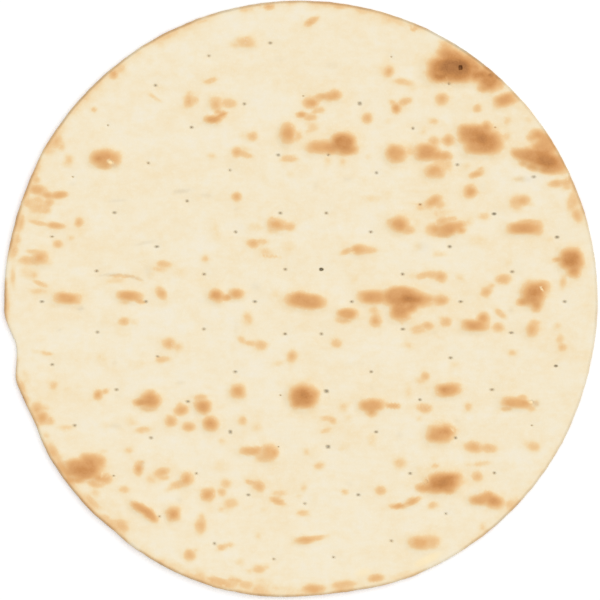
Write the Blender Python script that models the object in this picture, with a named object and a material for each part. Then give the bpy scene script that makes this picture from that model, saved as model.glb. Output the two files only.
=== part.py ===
"""Round dockered cracker bread: one thin wheat sheet, blistered on its top, with rings of pin holes through it.

Metres, +Z up. The underside rests at Z = 0 and the shown side faces +Z.
"""
import math

import bmesh
import bpy
from mathutils import Matrix

MM = 0.001
TAU = 2.0 * math.pi

# The sheet
RADIUS = 190.6 * MM           # nominal outline radius, a 380 mm round
THICK_MIDDLE = 3.0 * MM       # sheet thickness at the middle
THICK_RIM = 2.2 * MM          # sheet thickness just inside the rim
CELLS = 40                    # grid cells across the sheet
RIM_TUCK = 1.1 * MM           # how far the top and bottom edges sit inside the rim's widest line
REST_RADIUS = 104.0 * MM      # the underside is flat inside this radius
LIFT_MEAN = 1.3 * MM          # mean lift of the rim's underside
LIFT_LEAN = 1.0 * MM          # one-sided part of that lift
LIFT_LEAN_AT = math.radians(222.0)
LIFT_WAVE = 0.5 * MM          # three-lobed part of that lift
LIFT_WAVE_AT = math.radians(55.0)

# Shallow flats, the nick and one bulge of the outline: middle angle, half width (degrees), depth (metres)
OUTLINE_DIPS = (
    (13.0, 56.0, 1.1 * MM),
    (150.0, 34.0, 0.8 * MM),
    (161.0, 13.0, 1.4 * MM),
    (175.0, 13.0, 1.4 * MM),
    (189.4, 6.6, 5.2 * MM),
    (198.0, 26.0, 2.0 * MM),
    (204.6, 8.0, 1.9 * MM),
    (220.0, 14.0, 0.8 * MM),
    (230.5, 5.0, 0.8 * MM),
    (251.0, 18.0, -0.9 * MM),
    (277.0, 16.0, 1.8 * MM),
    (345.0, 14.0, 0.4 * MM),
)

# The docker pins, ring by ring: count, first angle (degrees), ring radius, widening along X, shift up (+Y)
PIN_RINGS = (
    (6, 0.0, 26.1 * MM, 4.8 * MM, 0.0 * MM),
    (12, 15.0, 62.2 * MM, 4.1 * MM, -0.3 * MM),
    (18, 0.0, 97.2 * MM, 3.1 * MM, 0.5 * MM),
    (22, 8.18, 131.2 * MM, 1.8 * MM, 1.7 * MM),
    (26, 0.0, 166.0 * MM, 0.6 * MM, 1.4 * MM),
)
PIN_MIDDLE = (1.7 * MM, -1.5 * MM)     # middle of the rings
PIN_SKEW = math.radians(0.9)           # the pins crowd a little towards the two diagonals
PIN_CLOSED = (21.0, 164.0)             # x, y (mm) of the one place on the rings where the sheet has closed
PIN_NEAR = 5.0 * MM                    # how far from such a place a pin may be to be meant by it
# Pins that stray from their ring: x, y on the ring, then the shift along X and Y (mm)
PIN_STRAYS = (
    (-13.0, -58.5, 0.2, -2.6), (76.0, 62.5, 0.4, -2.2), (48.5, 82.5, -0.2, -1.7), (133.5, 18.0, 1.4, -0.5),
    (122.0, 55.0, 1.3, -0.7), (100.5, 87.0, -0.6, -1.1), (71.5, 110.5, 0.2, -1.5), (-34.0, 125.0, -1.7, -0.3),
    (-68.0, 110.5, -1.6, -0.8), (1.5, -129.0, 0.9, -1.1), (121.0, -57.5, 1.1, 0.0), (133.0, -21.0, 1.3, -0.4),
    (125.0, 111.0, -0.9, -1.6), (59.0, 155.0, -1.4, -0.5), (-18.0, 164.0, -1.6, -0.8), (-56.0, 155.0, -2.6, 0.0),
    (-91.0, 137.5, -1.4, -0.9), (-121.5, 111.0, -1.2, -0.3), (-160.0, 39.5, 1.6, 0.3), (-159.5, -42.5, 1.0, 0.8),
    (-120.0, -113.0, 1.0, 0.5), (-17.5, -164.5, 0.3, -1.1), (58.5, -155.5, -0.5, 1.7), (93.0, -138.5, -0.6, 1.7),
    (123.5, -113.0, -0.1, 2.2), (75.5, -65.0, 0.7, 1.2), (94.5, -36.5, 0.8, -0.9),
)
PIN_SIDES = 5
PIN_HALF_LENGTH = 1.2 * MM             # half of a hole's opening along X, at the sheet's top
PIN_HALF_HEIGHT = 0.9 * MM             # half of a hole's opening along Y, at the sheet's top
PIN_TAPER = 0.60                       # size of a hole below the sheet, as a part of its size above it
PIN_REACH_UP = 8.0 * MM
PIN_REACH_DOWN = 2.0 * MM
BURST_AT = (102.0 * MM, 147.5 * MM)    # the burst spot of the largest blister
BURST_HALF = 1.3 * MM                  # half of the burst spot's opening
BURST_FLOOR = 3.2 * MM                 # how high above Z = 0 the burst spot ends
PILLOW = 0.45 * MM                     # how much the sheet sinks round each pin hole
PILLOW_REACH = 8.0 * MM

# The larger blisters: x, y, length, width (mm), turn (degrees), height (mm)
BLISTERS = (
    (98.0, 148.0, 36.0, 21.0, -12.0, 3.0),
    (119.0, 141.0, 15.0, 14.0, 0.0, 1.4),
    (131.0, 128.5, 16.0, 8.0, 15.0, 1.2),
    (113.5, 101.5, 28.0, 19.0, 0.0, 2.7),
    (151.0, 92.0, 33.0, 22.0, -28.0, 2.8),
    (172.0, 24.0, 16.0, 17.0, 0.0, 2.4),
    (65.0, -1.0, 21.0, 22.0, 0.0, 2.7),
    (47.0, 2.0, 22.0, 9.0, 0.0, 1.7),
    (2.0, -61.5, 23.0, 17.0, 0.0, 2.8),
    (26.0, 99.5, 19.0, 14.0, 0.0, 2.4),
    (10.0, 96.0, 16.0, 9.0, 0.0, 1.4),
    (-8.0, 105.5, 14.0, 14.0, 0.0, 2.0),
    (-126.0, 89.0, 21.0, 13.0, 0.0, 2.1),
    (-97.0, -64.5, 20.0, 13.0, 0.0, 2.2),
    (-138.0, -108.0, 25.0, 14.0, 0.0, 2.2),
    (90.0, -117.0, 30.0, 14.0, 8.0, 2.6),
    (119.0, -128.0, 21.0, 9.0, -6.0, 2.0),
    (148.0, 3.0, 18.0, 18.0, 0.0, 2.4),
    (111.0, -15.5, 17.0, 10.0, 12.0, 2.0),
    (94.0, 45.5, 25.0, 12.0, 0.0, 2.2),
    (143.0, 45.5, 23.0, 10.0, 0.0, 1.9),
    (138.0, -65.5, 22.0, 9.0, 0.0, 1.9),
    (89.0, -85.5, 17.0, 12.0, 0.0, 2.1),
    (46.0, -68.0, 16.0, 11.0, 0.0, 1.8),
    (93.0, -57.0, 18.0, 10.0, 0.0, 1.8),
    (83.0, 94.0, 21.0, 11.0, 0.0, 1.9),
    (86.0, 81.5, 14.0, 9.0, 0.0, 1.4),
    (61.0, 92.5, 14.0, 12.0, 0.0, 1.8),
    (64.0, 47.5, 16.0, 11.0, 0.0, 1.8),
    (30.0, -9.0, 15.0, 8.0, 0.0, 1.5),
    (3.0, -0.5, 30.0, 11.0, 0.0, 1.9),
    (-53.0, 3.0, 10.0, 9.0, 0.0, 1.6),
    (-41.0, 4.0, 12.0, 8.0, 10.0, 1.4),
    (-62.5, -67.5, 13.0, 12.0, 0.0, 1.8),
    (-57.5, -79.5, 11.0, 9.0, 0.0, 1.6),
    (-40.0, -58.5, 10.0, 10.0, 0.0, 1.4),
    (-81.0, -136.5, 11.0, 10.0, 0.0, 1.5),
    (-100.0, -134.0, 21.0, 9.0, -25.0, 1.8),
    (-25.0, -97.5, 26.0, 10.0, 0.0, 1.6),
    (79.0, -154.0, 20.0, 10.0, 0.0, 1.7),
    (-75.0, -116.0, 19.0, 10.0, 22.0, 1.6),
    (-149.0, 1.0, 19.0, 8.0, 0.0, 1.5),
    (-108.0, 2.0, 18.0, 8.0, 0.0, 1.5),
    (-55.0, 116.0, 15.0, 7.0, 15.0, 1.5),
    (-54.0, 125.0, 10.0, 10.0, 0.0, 1.2),
    (-13.0, 47.5, 18.0, 10.0, -12.0, 1.4),
    (-166.0, 26.0, 13.0, 10.0, 0.0, 1.5),
    (-166.0, -73.0, 10.0, 14.0, 0.0, 1.3),
    (5.0, -152.5, 22.0, 8.0, 5.0, 1.4),
    (67.0, -130.0, 22.0, 7.0, 18.0, 1.4),
    (38.0, 32.5, 18.0, 8.0, -5.0, 1.4),
    (148.0, -19.0, 9.0, 10.0, 0.0, 1.2),
)
BLISTER_SKIRT = 0.62          # what part of its length and width a blister's halves reach

CRUST_COLOUR = (0.90, 0.78, 0.57, 1.0)
CRUST_ROUGHNESS = 0.78


def remove_everything():
    """Empties the scene."""
    for held in list(bpy.data.objects):
        bpy.data.objects.remove(held, do_unlink=True)
    for held in list(bpy.data.collections):
        bpy.data.collections.remove(held)


def smooth_step(value):
    """0 below 0, 1 above 1, and a smooth S between."""
    value = min(1.0, max(0.0, value))
    return value * value * (3.0 - 2.0 * value)


def turn_between(angle, other):
    """The signed angle from one direction to another, within half a turn."""
    return (angle - other + math.pi) % TAU - math.pi


def outline_radius(angle):
    """Radius of the outline in one direction: the nominal round less its flats and nick, plus its bulge."""
    radius = RADIUS
    for middle, half_width, depth in OUTLINE_DIPS:
        away = abs(turn_between(angle, math.radians(middle))) / math.radians(half_width)
        if away < 1.0:
            radius -= depth * (0.5 + 0.5 * math.cos(math.pi * away)) ** 0.8
    return radius


def pin_places():
    """The middle of every docker hole, ring by ring, with the strays moved and the closed one left out."""
    places = []
    for count, first, ring, widening, up in PIN_RINGS:
        for index in range(count):
            angle = math.radians(first) + TAU * index / count
            angle += PIN_SKEW * math.sin(2.0 * angle)
            radius = ring + widening * math.cos(2.0 * angle) + up * math.sin(angle)
            x, y = PIN_MIDDLE[0] + radius * math.cos(angle), PIN_MIDDLE[1] + radius * math.sin(angle)
            if math.hypot(x - PIN_CLOSED[0] * MM, y - PIN_CLOSED[1] * MM) < PIN_NEAR:
                continue
            for near_x, near_y, side, away in PIN_STRAYS:
                if math.hypot(x - near_x * MM, y - near_y * MM) < PIN_NEAR:
                    x, y = x + side * MM, y + away * MM
                    break
            places.append((x, y))
    return places


def underside_height(x, y):
    """Height of the underside: flat in the middle, and lifted softly and unevenly towards the rim."""
    radius, angle = math.hypot(x, y), math.atan2(y, x)
    lift = LIFT_MEAN + LIFT_LEAN * math.cos(angle - LIFT_LEAN_AT) + LIFT_WAVE * math.cos(3.0 * angle - LIFT_WAVE_AT)
    return lift * smooth_step((radius - REST_RADIUS) / (RADIUS - REST_RADIUS)) ** 1.5


def blister_height(x, y):
    """Height that the blisters add: each is a smooth dome on an ellipse, and the highest one counts."""
    best = 0.0
    for at_x, at_y, length, width, turn, height in BLISTERS:
        side_x, side_y = x / MM - at_x, y / MM - at_y
        cosine, sine = math.cos(math.radians(turn)), math.sin(math.radians(turn))
        along = (side_x * cosine + side_y * sine) / (BLISTER_SKIRT * length + 2.0)
        across = (side_y * cosine - side_x * sine) / (BLISTER_SKIRT * width + 2.0)
        reach = along * along + across * across
        if reach < 1.0:
            best = max(best, height * MM * (1.0 - reach) ** 1.4)
    return best


def sheet_thickness(x, y, pins):
    """Thickness of the sheet: thinner to the rim, pinched at the pin holes, and raised by the blisters."""
    radius = math.hypot(x, y)
    thick = THICK_MIDDLE + (THICK_RIM - THICK_MIDDLE) * smooth_step(radius / RADIUS) ** 2.0
    pinch = sum(math.exp(-((x - px) ** 2 + (y - py) ** 2) / (2.0 * (0.5 * PILLOW_REACH) ** 2)) for px, py in pins)
    edge = smooth_step((outline_radius(math.atan2(y, x)) - radius) / (9.0 * MM))
    return thick - PILLOW * min(1.0, pinch) + blister_height(x, y) * edge


def square_to_round(u, v):
    """Takes a point of the square from -1 to 1 to the unit disc, ring for ring: radius and angle."""
    if u == 0.0 and v == 0.0:
        return 0.0, 0.0
    if abs(u) >= abs(v):
        radius, angle = u, 0.25 * math.pi * v / u
    else:
        radius, angle = v, 0.5 * math.pi - 0.25 * math.pi * u / v
    return (radius, angle) if radius > 0.0 else (-radius, angle + math.pi)


def link_object(name, mesh, hidden=False):
    """Puts a mesh into the scene as an object, in a collection of its own name."""
    made = bpy.data.objects.new(name, mesh)
    group = bpy.data.collections.new(name)
    bpy.context.scene.collection.children.link(group)
    group.objects.link(made)
    group.hide_render = hidden
    return made


def crust_material():
    """The plain colour of the baked sheet."""
    material = bpy.data.materials.new("baked_crust")
    material.use_nodes = True
    shader = material.node_tree.nodes["Principled BSDF"]
    shader.inputs["Base Color"].default_value = CRUST_COLOUR
    shader.inputs["Roughness"].default_value = CRUST_ROUGHNESS
    return material


def sheet_mesh(pins):
    """The closed sheet: a grid laid on the outline, a second skin raised from it, and a rounded rim between."""
    work = bmesh.new()
    bmesh.ops.create_grid(work, x_segments=CELLS, y_segments=CELLS, size=1.0)
    for vert in work.verts:
        part, angle = square_to_round(round(vert.co.x, 9), round(vert.co.y, 9))
        tucked = outline_radius(angle) - RIM_TUCK
        vert.co = (part * tucked * math.cos(angle), part * tucked * math.sin(angle), 0.0)
    below = list(work.verts)
    grown = bmesh.ops.extrude_face_region(work, geom=list(work.faces), use_keep_orig=True)
    above = [item for item in grown["geom"] if isinstance(item, bmesh.types.BMVert)]
    tops = set(above)
    for vert in above:
        vert.co.z = underside_height(vert.co.x, vert.co.y) + sheet_thickness(vert.co.x, vert.co.y, pins)
    for vert in below:
        vert.co.z = underside_height(vert.co.x, vert.co.y)
    sides = [edge for edge in work.edges if (edge.verts[0] in tops) != (edge.verts[1] in tops)]
    cut = bmesh.ops.subdivide_edges(work, edges=sides, cuts=1, use_grid_fill=False)
    for item in cut["geom_inner"]:
        if isinstance(item, bmesh.types.BMVert):
            angle = math.atan2(item.co.y, item.co.x)
            widest = outline_radius(angle)
            item.co.x, item.co.y = widest * math.cos(angle), widest * math.sin(angle)
    bmesh.ops.recalc_face_normals(work, faces=work.faces)
    mesh = bpy.data.meshes.new("cracker_bread")
    work.to_mesh(mesh)
    work.free()
    return mesh


def pin_mesh(pins):
    """All docker pins in one mesh, tapered and longer than the sheet is thick, and a short one for the burst."""
    work = bmesh.new()
    length = PIN_REACH_UP + PIN_REACH_DOWN
    middle = 0.5 * (PIN_REACH_UP - PIN_REACH_DOWN)
    for index, (x, y) in enumerate(pins):
        place = Matrix.Translation((x, y, middle)) @ Matrix.Diagonal((PIN_HALF_LENGTH, PIN_HALF_HEIGHT, 1.0, 1.0))
        turn = Matrix.Rotation(0.37 * index, 4, "Z")
        bmesh.ops.create_cone(
            work, cap_ends=True, cap_tris=False, segments=PIN_SIDES,
            radius1=PIN_TAPER, radius2=1.0 + (1.0 - PIN_TAPER) * 0.9, depth=length, matrix=place @ turn,
        )
    middle = 0.5 * (PIN_REACH_UP + BURST_FLOOR)
    place = Matrix.Translation((*BURST_AT, middle)) @ Matrix.Diagonal((BURST_HALF, BURST_HALF, 1.0, 1.0))
    bmesh.ops.create_cone(
        work, cap_ends=True, cap_tris=False, segments=PIN_SIDES + 1,
        radius1=PIN_TAPER, radius2=1.7, depth=PIN_REACH_UP - BURST_FLOOR, matrix=place,
    )
    bmesh.ops.recalc_face_normals(work, faces=work.faces)
    mesh = bpy.data.meshes.new("docker_pins")
    work.to_mesh(mesh)
    work.free()
    return mesh


def build():
    """Makes the bread: the sheet, with the docker pins cut out of it."""
    remove_everything()
    pins = pin_places()
    bread = link_object("cracker_bread", sheet_mesh(pins))
    bread.data.materials.append(crust_material())
    cutter = link_object("docker_pins", pin_mesh(pins), hidden=True)
    cutter.hide_render = True
    cutter.display_type = "WIRE"
    pierce = bread.modifiers.new("pierce", "BOOLEAN")
    pierce.operation = "DIFFERENCE"
    pierce.solver = "EXACT"
    pierce.object = cutter


build()
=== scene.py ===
"""Looks of a round dockered cracker bread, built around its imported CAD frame.

Metres, +Z up. The bread lies flat with its blistered side up, and the photograph's up is +Y.
"""
import logging
import math
from collections.abc import Sequence
from dataclasses import dataclass, field, fields
from enum import Enum

import bpy
import numpy as np
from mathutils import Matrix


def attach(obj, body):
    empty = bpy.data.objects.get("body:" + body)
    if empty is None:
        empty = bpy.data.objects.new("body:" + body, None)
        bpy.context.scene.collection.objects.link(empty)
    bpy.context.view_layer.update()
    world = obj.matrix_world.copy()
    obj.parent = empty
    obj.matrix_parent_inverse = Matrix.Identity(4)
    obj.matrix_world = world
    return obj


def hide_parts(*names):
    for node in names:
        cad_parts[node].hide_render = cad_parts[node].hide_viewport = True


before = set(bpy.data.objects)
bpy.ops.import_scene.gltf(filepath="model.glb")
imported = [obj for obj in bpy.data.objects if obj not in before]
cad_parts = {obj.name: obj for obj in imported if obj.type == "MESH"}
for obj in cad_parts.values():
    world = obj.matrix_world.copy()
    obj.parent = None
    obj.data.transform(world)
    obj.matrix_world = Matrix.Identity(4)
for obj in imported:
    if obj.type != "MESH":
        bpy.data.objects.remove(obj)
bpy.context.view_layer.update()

MM = 0.001
TAU = 2.0 * math.pi
RING = 16                             # corners of each ring round a docker hole or a burst spot
HASH_WAVES = (127.1, 311.7, 74.7)     # of the sine that numbers a lattice point: along columns, rows and seeds
HASH_GAIN = 43758.5453                # so large that only the sine's last digits count
LAYER_SEED = 17                       # from the seed of one layer of noise to the next one's
WHITE = (1.0, 1.0, 1.0, 1.0)
LOG = logging.getLogger("cracker_bread")

Array = np.ndarray
Pair = tuple[float, float]
Triple = tuple[float, float, float]
Colour = tuple[float, float, float, float]
Rows = tuple[tuple[float, ...], ...]


class Chart(Enum):
    """The two flat charts that the skin unrolls onto."""

    SHOWN = "shown side"
    UNDER = "underside"


class Stamp(Enum):
    """What is set into the sheet's grid."""

    PIN_HOLE = "docker hole through the sheet"
    PIT = "burst spot that stays closed below"


def smooth_step(value: Array | float) -> Array:
    """0 below 0, 1 above 1 and 3v² - 2v³ between."""
    held = np.clip(value, 0.0, 1.0)
    return held * held * (3.0 - 2.0 * held)


def turn_between(angle: Array, other: float) -> Array:
    """The signed angle from one direction to another, within half a turn."""
    return (angle - other + math.pi) % TAU - math.pi


def polar(radius: Array, angle: Array) -> Array:
    """x and y, on the last axis, of places this far from the middle in these directions."""
    return np.stack([radius * np.cos(angle), radius * np.sin(angle)], axis=-1)


def put_in_scene(name: str, data: bpy.types.ID) -> bpy.types.Object:
    """Adds an object to the scene, at the origin.

    Args:
        name: name of the object.
        data: its mesh, light or camera.

    Returns:
        The object.
    """
    thing = bpy.data.objects.new(name, data)
    bpy.context.scene.collection.objects.link(thing)
    return thing


def display_colour(red: float, green: float, blue: float) -> Colour:
    """A colour as a screen shows it, 0 to 255, as the linear light that a shader takes: the sRGB curve."""
    linear = [((part / 255.0 + 0.055) / 1.055) ** 2.4 for part in (red, green, blue)]
    return (*linear, 1.0)


# --------------------------------------------------------------------------------------------------------------
# Numbers spread over the plane


@dataclass(frozen=True)
class SoftNoise:
    """Smooth value noise: every lattice point has a fixed number, and an S curve blends the four round a place."""

    seed: int
    cell: float               # metres between lattice points
    stretch: float = 1.0      # how many times longer the pattern is along X than along Y
    layers: int = 1           # each layer is half the size and half the strength of the one before

    @staticmethod
    def lattice(column: Array, row: Array, seed: int) -> Array:
        """A fixed number for each lattice point: the fraction of a sine times a large number.

        Args:
            column: whole numbers of the points along X.
            row: the same along Y.
            seed: sets one pattern apart from another.

        Returns:
            Numbers from -1 to 1.
        """
        along_columns, along_rows, along_seeds = HASH_WAVES
        mixed = np.sin(column * along_columns + row * along_rows + seed * along_seeds) * HASH_GAIN
        return 2.0 * (mixed - np.floor(mixed)) - 1.0

    def at(self, x: Array, y: Array) -> Array:
        """The noise at each place.

        Args:
            x: places along X, in metres.
            y: places along Y, in metres.

        Returns:
            Numbers from -1 to 1, one for each place.
        """
        total, weight = np.zeros(np.shape(x)), 0.0
        for layer in range(self.layers):
            share = 0.5 ** layer
            across, along = x / (self.cell * self.stretch * share), y / (self.cell * share)
            column, row = np.floor(across), np.floor(along)
            side, up = smooth_step(across - column), smooth_step(along - row)
            seed = self.seed + LAYER_SEED * layer
            low = self.lattice(column, row, seed) * (1.0 - side) + self.lattice(column + 1.0, row, seed) * side
            high = self.lattice(column, row + 1.0, seed) * (1.0 - side)
            high = high + self.lattice(column + 1.0, row + 1.0, seed) * side
            total = total + share * (low * (1.0 - up) + high * up)
            weight += share
        return total / weight


LEAST_RISE = 0.10             # height of the faintest blister, in millimetres
RISE_GAIN = 0.09              # what part of its narrow size a blister of full toast adds to that


@dataclass(frozen=True)
class Patch:
    """A soft-edged spot of the crust. Sizes are millimetres, as the eye reads them, and the turn is degrees."""

    x: float
    y: float
    length: float
    width: float
    level: float              # 0 is pale crust and 1 the darkest toast
    turn: float = 0.0
    rise: float = -1.0        # height of the blister that carries it, in millimetres; below 0 it follows the level
    box: float = 2.0          # 2 is an ellipse, and higher numbers have squarer corners
    soft: float = 1.0         # how much softer than usual its edge is

    @property
    def height(self) -> float:
        """Height of the blister under the spot, in metres."""
        if self.rise >= 0.0:
            return self.rise * MM
        return (LEAST_RISE + RISE_GAIN * min(self.length, self.width) * self.level) * MM

    def reach(self, x: Array, y: Array, half_length: float, half_width: float) -> Array:
        """How far out each place lies on a turned super-ellipse: the box-th root of the sum of box-th powers.

        Args:
            x: places along X, in metres.
            y: places along Y.
            half_length: half of the super-ellipse's length, in metres.
            half_width: half of its width.

        Returns:
            0 in the middle and 1 on the rim.
        """
        cosine, sine = math.cos(math.radians(self.turn)), math.sin(math.radians(self.turn))
        side_x, side_y = x - self.x * MM, y - self.y * MM
        along = np.abs(side_x * cosine + side_y * sine) / half_length
        across = np.abs(side_y * cosine - side_x * sine) / half_width
        return (along ** self.box + across ** self.box) ** (1.0 / self.box)

    def near(self, x: Array, y: Array, margin: float) -> Array:
        """Which places lie in the square round the spot, a margin (metres) wider than the spot."""
        half = 0.5 * max(self.length, self.width) * MM + margin
        return (np.abs(x - self.x * MM) < half) & (np.abs(y - self.y * MM) < half)


# The browned blisters and toast marks, as Patch takes them: x, y, length, width (mm), level, turn (degrees),
# rise (mm), box and soft
TOAST_UPPER_LEFT = (
    (-119, 143.3, 6.5, 6.5, .43), (-114.5, 146.5, 7, 6, .2), (-131.5, 121, 3.8, 3.6, .3), (-145, 119, 5, 4, .14),
    (-155.4, 100.7, 7, 10.6, .36, -20), (-152.5, 106, 5, 5, .14), (-152.4, 97.2, 6, 6, .25),
    (-147.8, 88.7, 7, 9, .22, -25), (-135, 132, 4, 7, .15, -45), (-125.3, 90.2, 16.8, 10.2, .58, 0, 2.1, 2.6),
    (-119, 89.8, 10, 9.5, .46, 0, 1.4, 2.6), (-128.4, 90, 8, 6, .6), (-125.4, 85.8, 11.5, 6, .43),
    (-170, 79.5, 4, 8, .38, -20), (-168, 70, 12.5, 6.6, .4, -8), (-161, 66.5, 10, 5, .36, -15),
    (-154, 66.4, 12.5, 4.8, .42, 6), (-160.5, 61.5, 9, 6.4, .31, 45), (-166.5, 58, 14, 9, .28, 0, -1, 2, 1.4),
    (-162, 57, 8, 6, .27), (-167, 63.4, 11, 6, .19, 0, -1, 2, 1.4), (-175.6, 67.4, 5, 8, .42, -18),
    (-168, 52, 13, 5, .12), (-156, 47, 12, 4.4, .37, -3), (-167.5, 48.8, 13, 3.6, .24, -14),
    (-141, 49, 5.4, 5.8, .38), (-139, 45, 8, 8, .07), (-154.8, 35, 5.4, 5.2, .35), (-146, 39, 5, 4, .13),
    (-165.5, 26, 9.8, 9, .43, 0, 1.5, 2.8), (-172.4, 24.6, 14, 6.4, .31), (-170.5, 30.3, 10, 4, .22),
    (-173, 17, 14, 9, .16), (-169.5, 15, 6, 5, .22), (-166, 10.2, 12, 3.6, .22, -22), (-178.3, 49, 5, 12, .35, -12),
    (-182.7, 31, 6, 12, .26, -8), (-160, 23.5, 4, 6, .16), (-168, 5, 12, 5, .14), (-183, 14, 4, 14, .22),
    (-180.5, 39, 5, 8, .28), (-168.5, 76.2, 6, 5, .28), (-173.5, 61, 7, 6, .28), (-118, 12.3, 13, 5, .14),
    (-114, 14.8, 22, 2.6, .22, -4, 0), (-103, 12.5, 6, 2, .16, -15), (-148.2, .5, 16.4, 6.9, .5, -2, 1.5, 3.2),
    (-109, 2.2, 17, 6.6, .5, -6, 1.5, 2.8), (-88.8, 4.2, 9.5, 6, .4, -58), (-87, 22.5, 9.5, 4.6, .29),
    (-89.5, 19.5, 11, 5, .16), (-77, 17, 8, 6, .06), (-20, 186.6, 7, 4.4, .44), (-27, 187, 8, 2.6, .25),
    (-36, 184.2, 8.5, 4.4, .21), (-63, 177, 10, 3.4, .18, 20), (-73, 174.5, 10, 3.6, .27, 24),
    (-85, 168, 10, 4.5, .22, 28), (-104, 156, 12, 4, .14, 33), (-34.8, 164, 13, 7.6, .27, 0, 1, 2.6),
    (-42, 162, 9, 4, .17), (-57.5, 139.3, 10.5, 4, .22, 12), (-92.5, 128.8, 10, 2.6, .17, -30), (-88, 135, 8, 4, .06),
    (-71.3, 126.4, 6.5, 8, .39), (-67.5, 127, 6, 5.4, .24), (-71, 131.6, 5, 4, .14),
    (-54, 124.2, 7.6, 8.2, .36, 0, 1.1, 2.6), (-46.3, 124.8, 12, 6.5, .25), (-53.5, 119.8, 5, 3.4, .36),
    (-55.5, 114.8, 11, 5.2, .62, 0, 1.5), (-50.5, 117.2, 9.5, 4, .5, 22), (-60, 114.4, 4, 3.4, .26),
    (-31, 104, 7.5, 6.2, .32, 0, .6, 2.6), (-36, 104, 6, 4, .12), (-8, 105.6, 9.6, 13.4, .5, 0, 2),
    (-1.8, 104.4, 6, 7, .24), (-40.7, 94, 5.8, 6.6, .4), (-36, 92.5, 12.5, 4.4, .27, -15), (-36, 95.6, 10, 4, .12),
    (-57, 91.5, 6, 5, .14), (-7, 89.5, 12, 5, .27), (-6, 80, 6, 4, .08), (-40.6, 65.5, 6.3, 6.2, .41),
    (-54, 46, 5.5, 9.5, .12), (-53, 40, 9, 7, .11), (-14.5, 47.8, 14, 7.8, .44, -8, 1.4),
    (-7, 46.6, 8.6, 6, .35, -10), (-17, 44, 10, 5, .18), (-18, 51.3, 7, 3.4, .2), (-29, 46, 11, 5, .1),
    (-30.4, 35.5, 8.8, 5.6, .39), (-25, 36.6, 10.5, 4.6, .22, 5), (-22, 30.3, 12, 6, .13, -30),
    (-19, 27.3, 14, 2.2, .18, -2), (-8, 34, 9, 8, .09), (-60.5, 26, 4.8, 4.6, .27),
    (-53.6, 2.4, 9.2, 7.6, .58, -20, 1.6, 2.4), (-41, 3.8, 9.6, 6.6, .5, 0, 1.4), (-47.5, 1.2, 9, 4.6, .43, 8),
    (-16, 3.3, 5, 5, .14), (-94.5, 16.5, 3, 2.6, .1),
)
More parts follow.
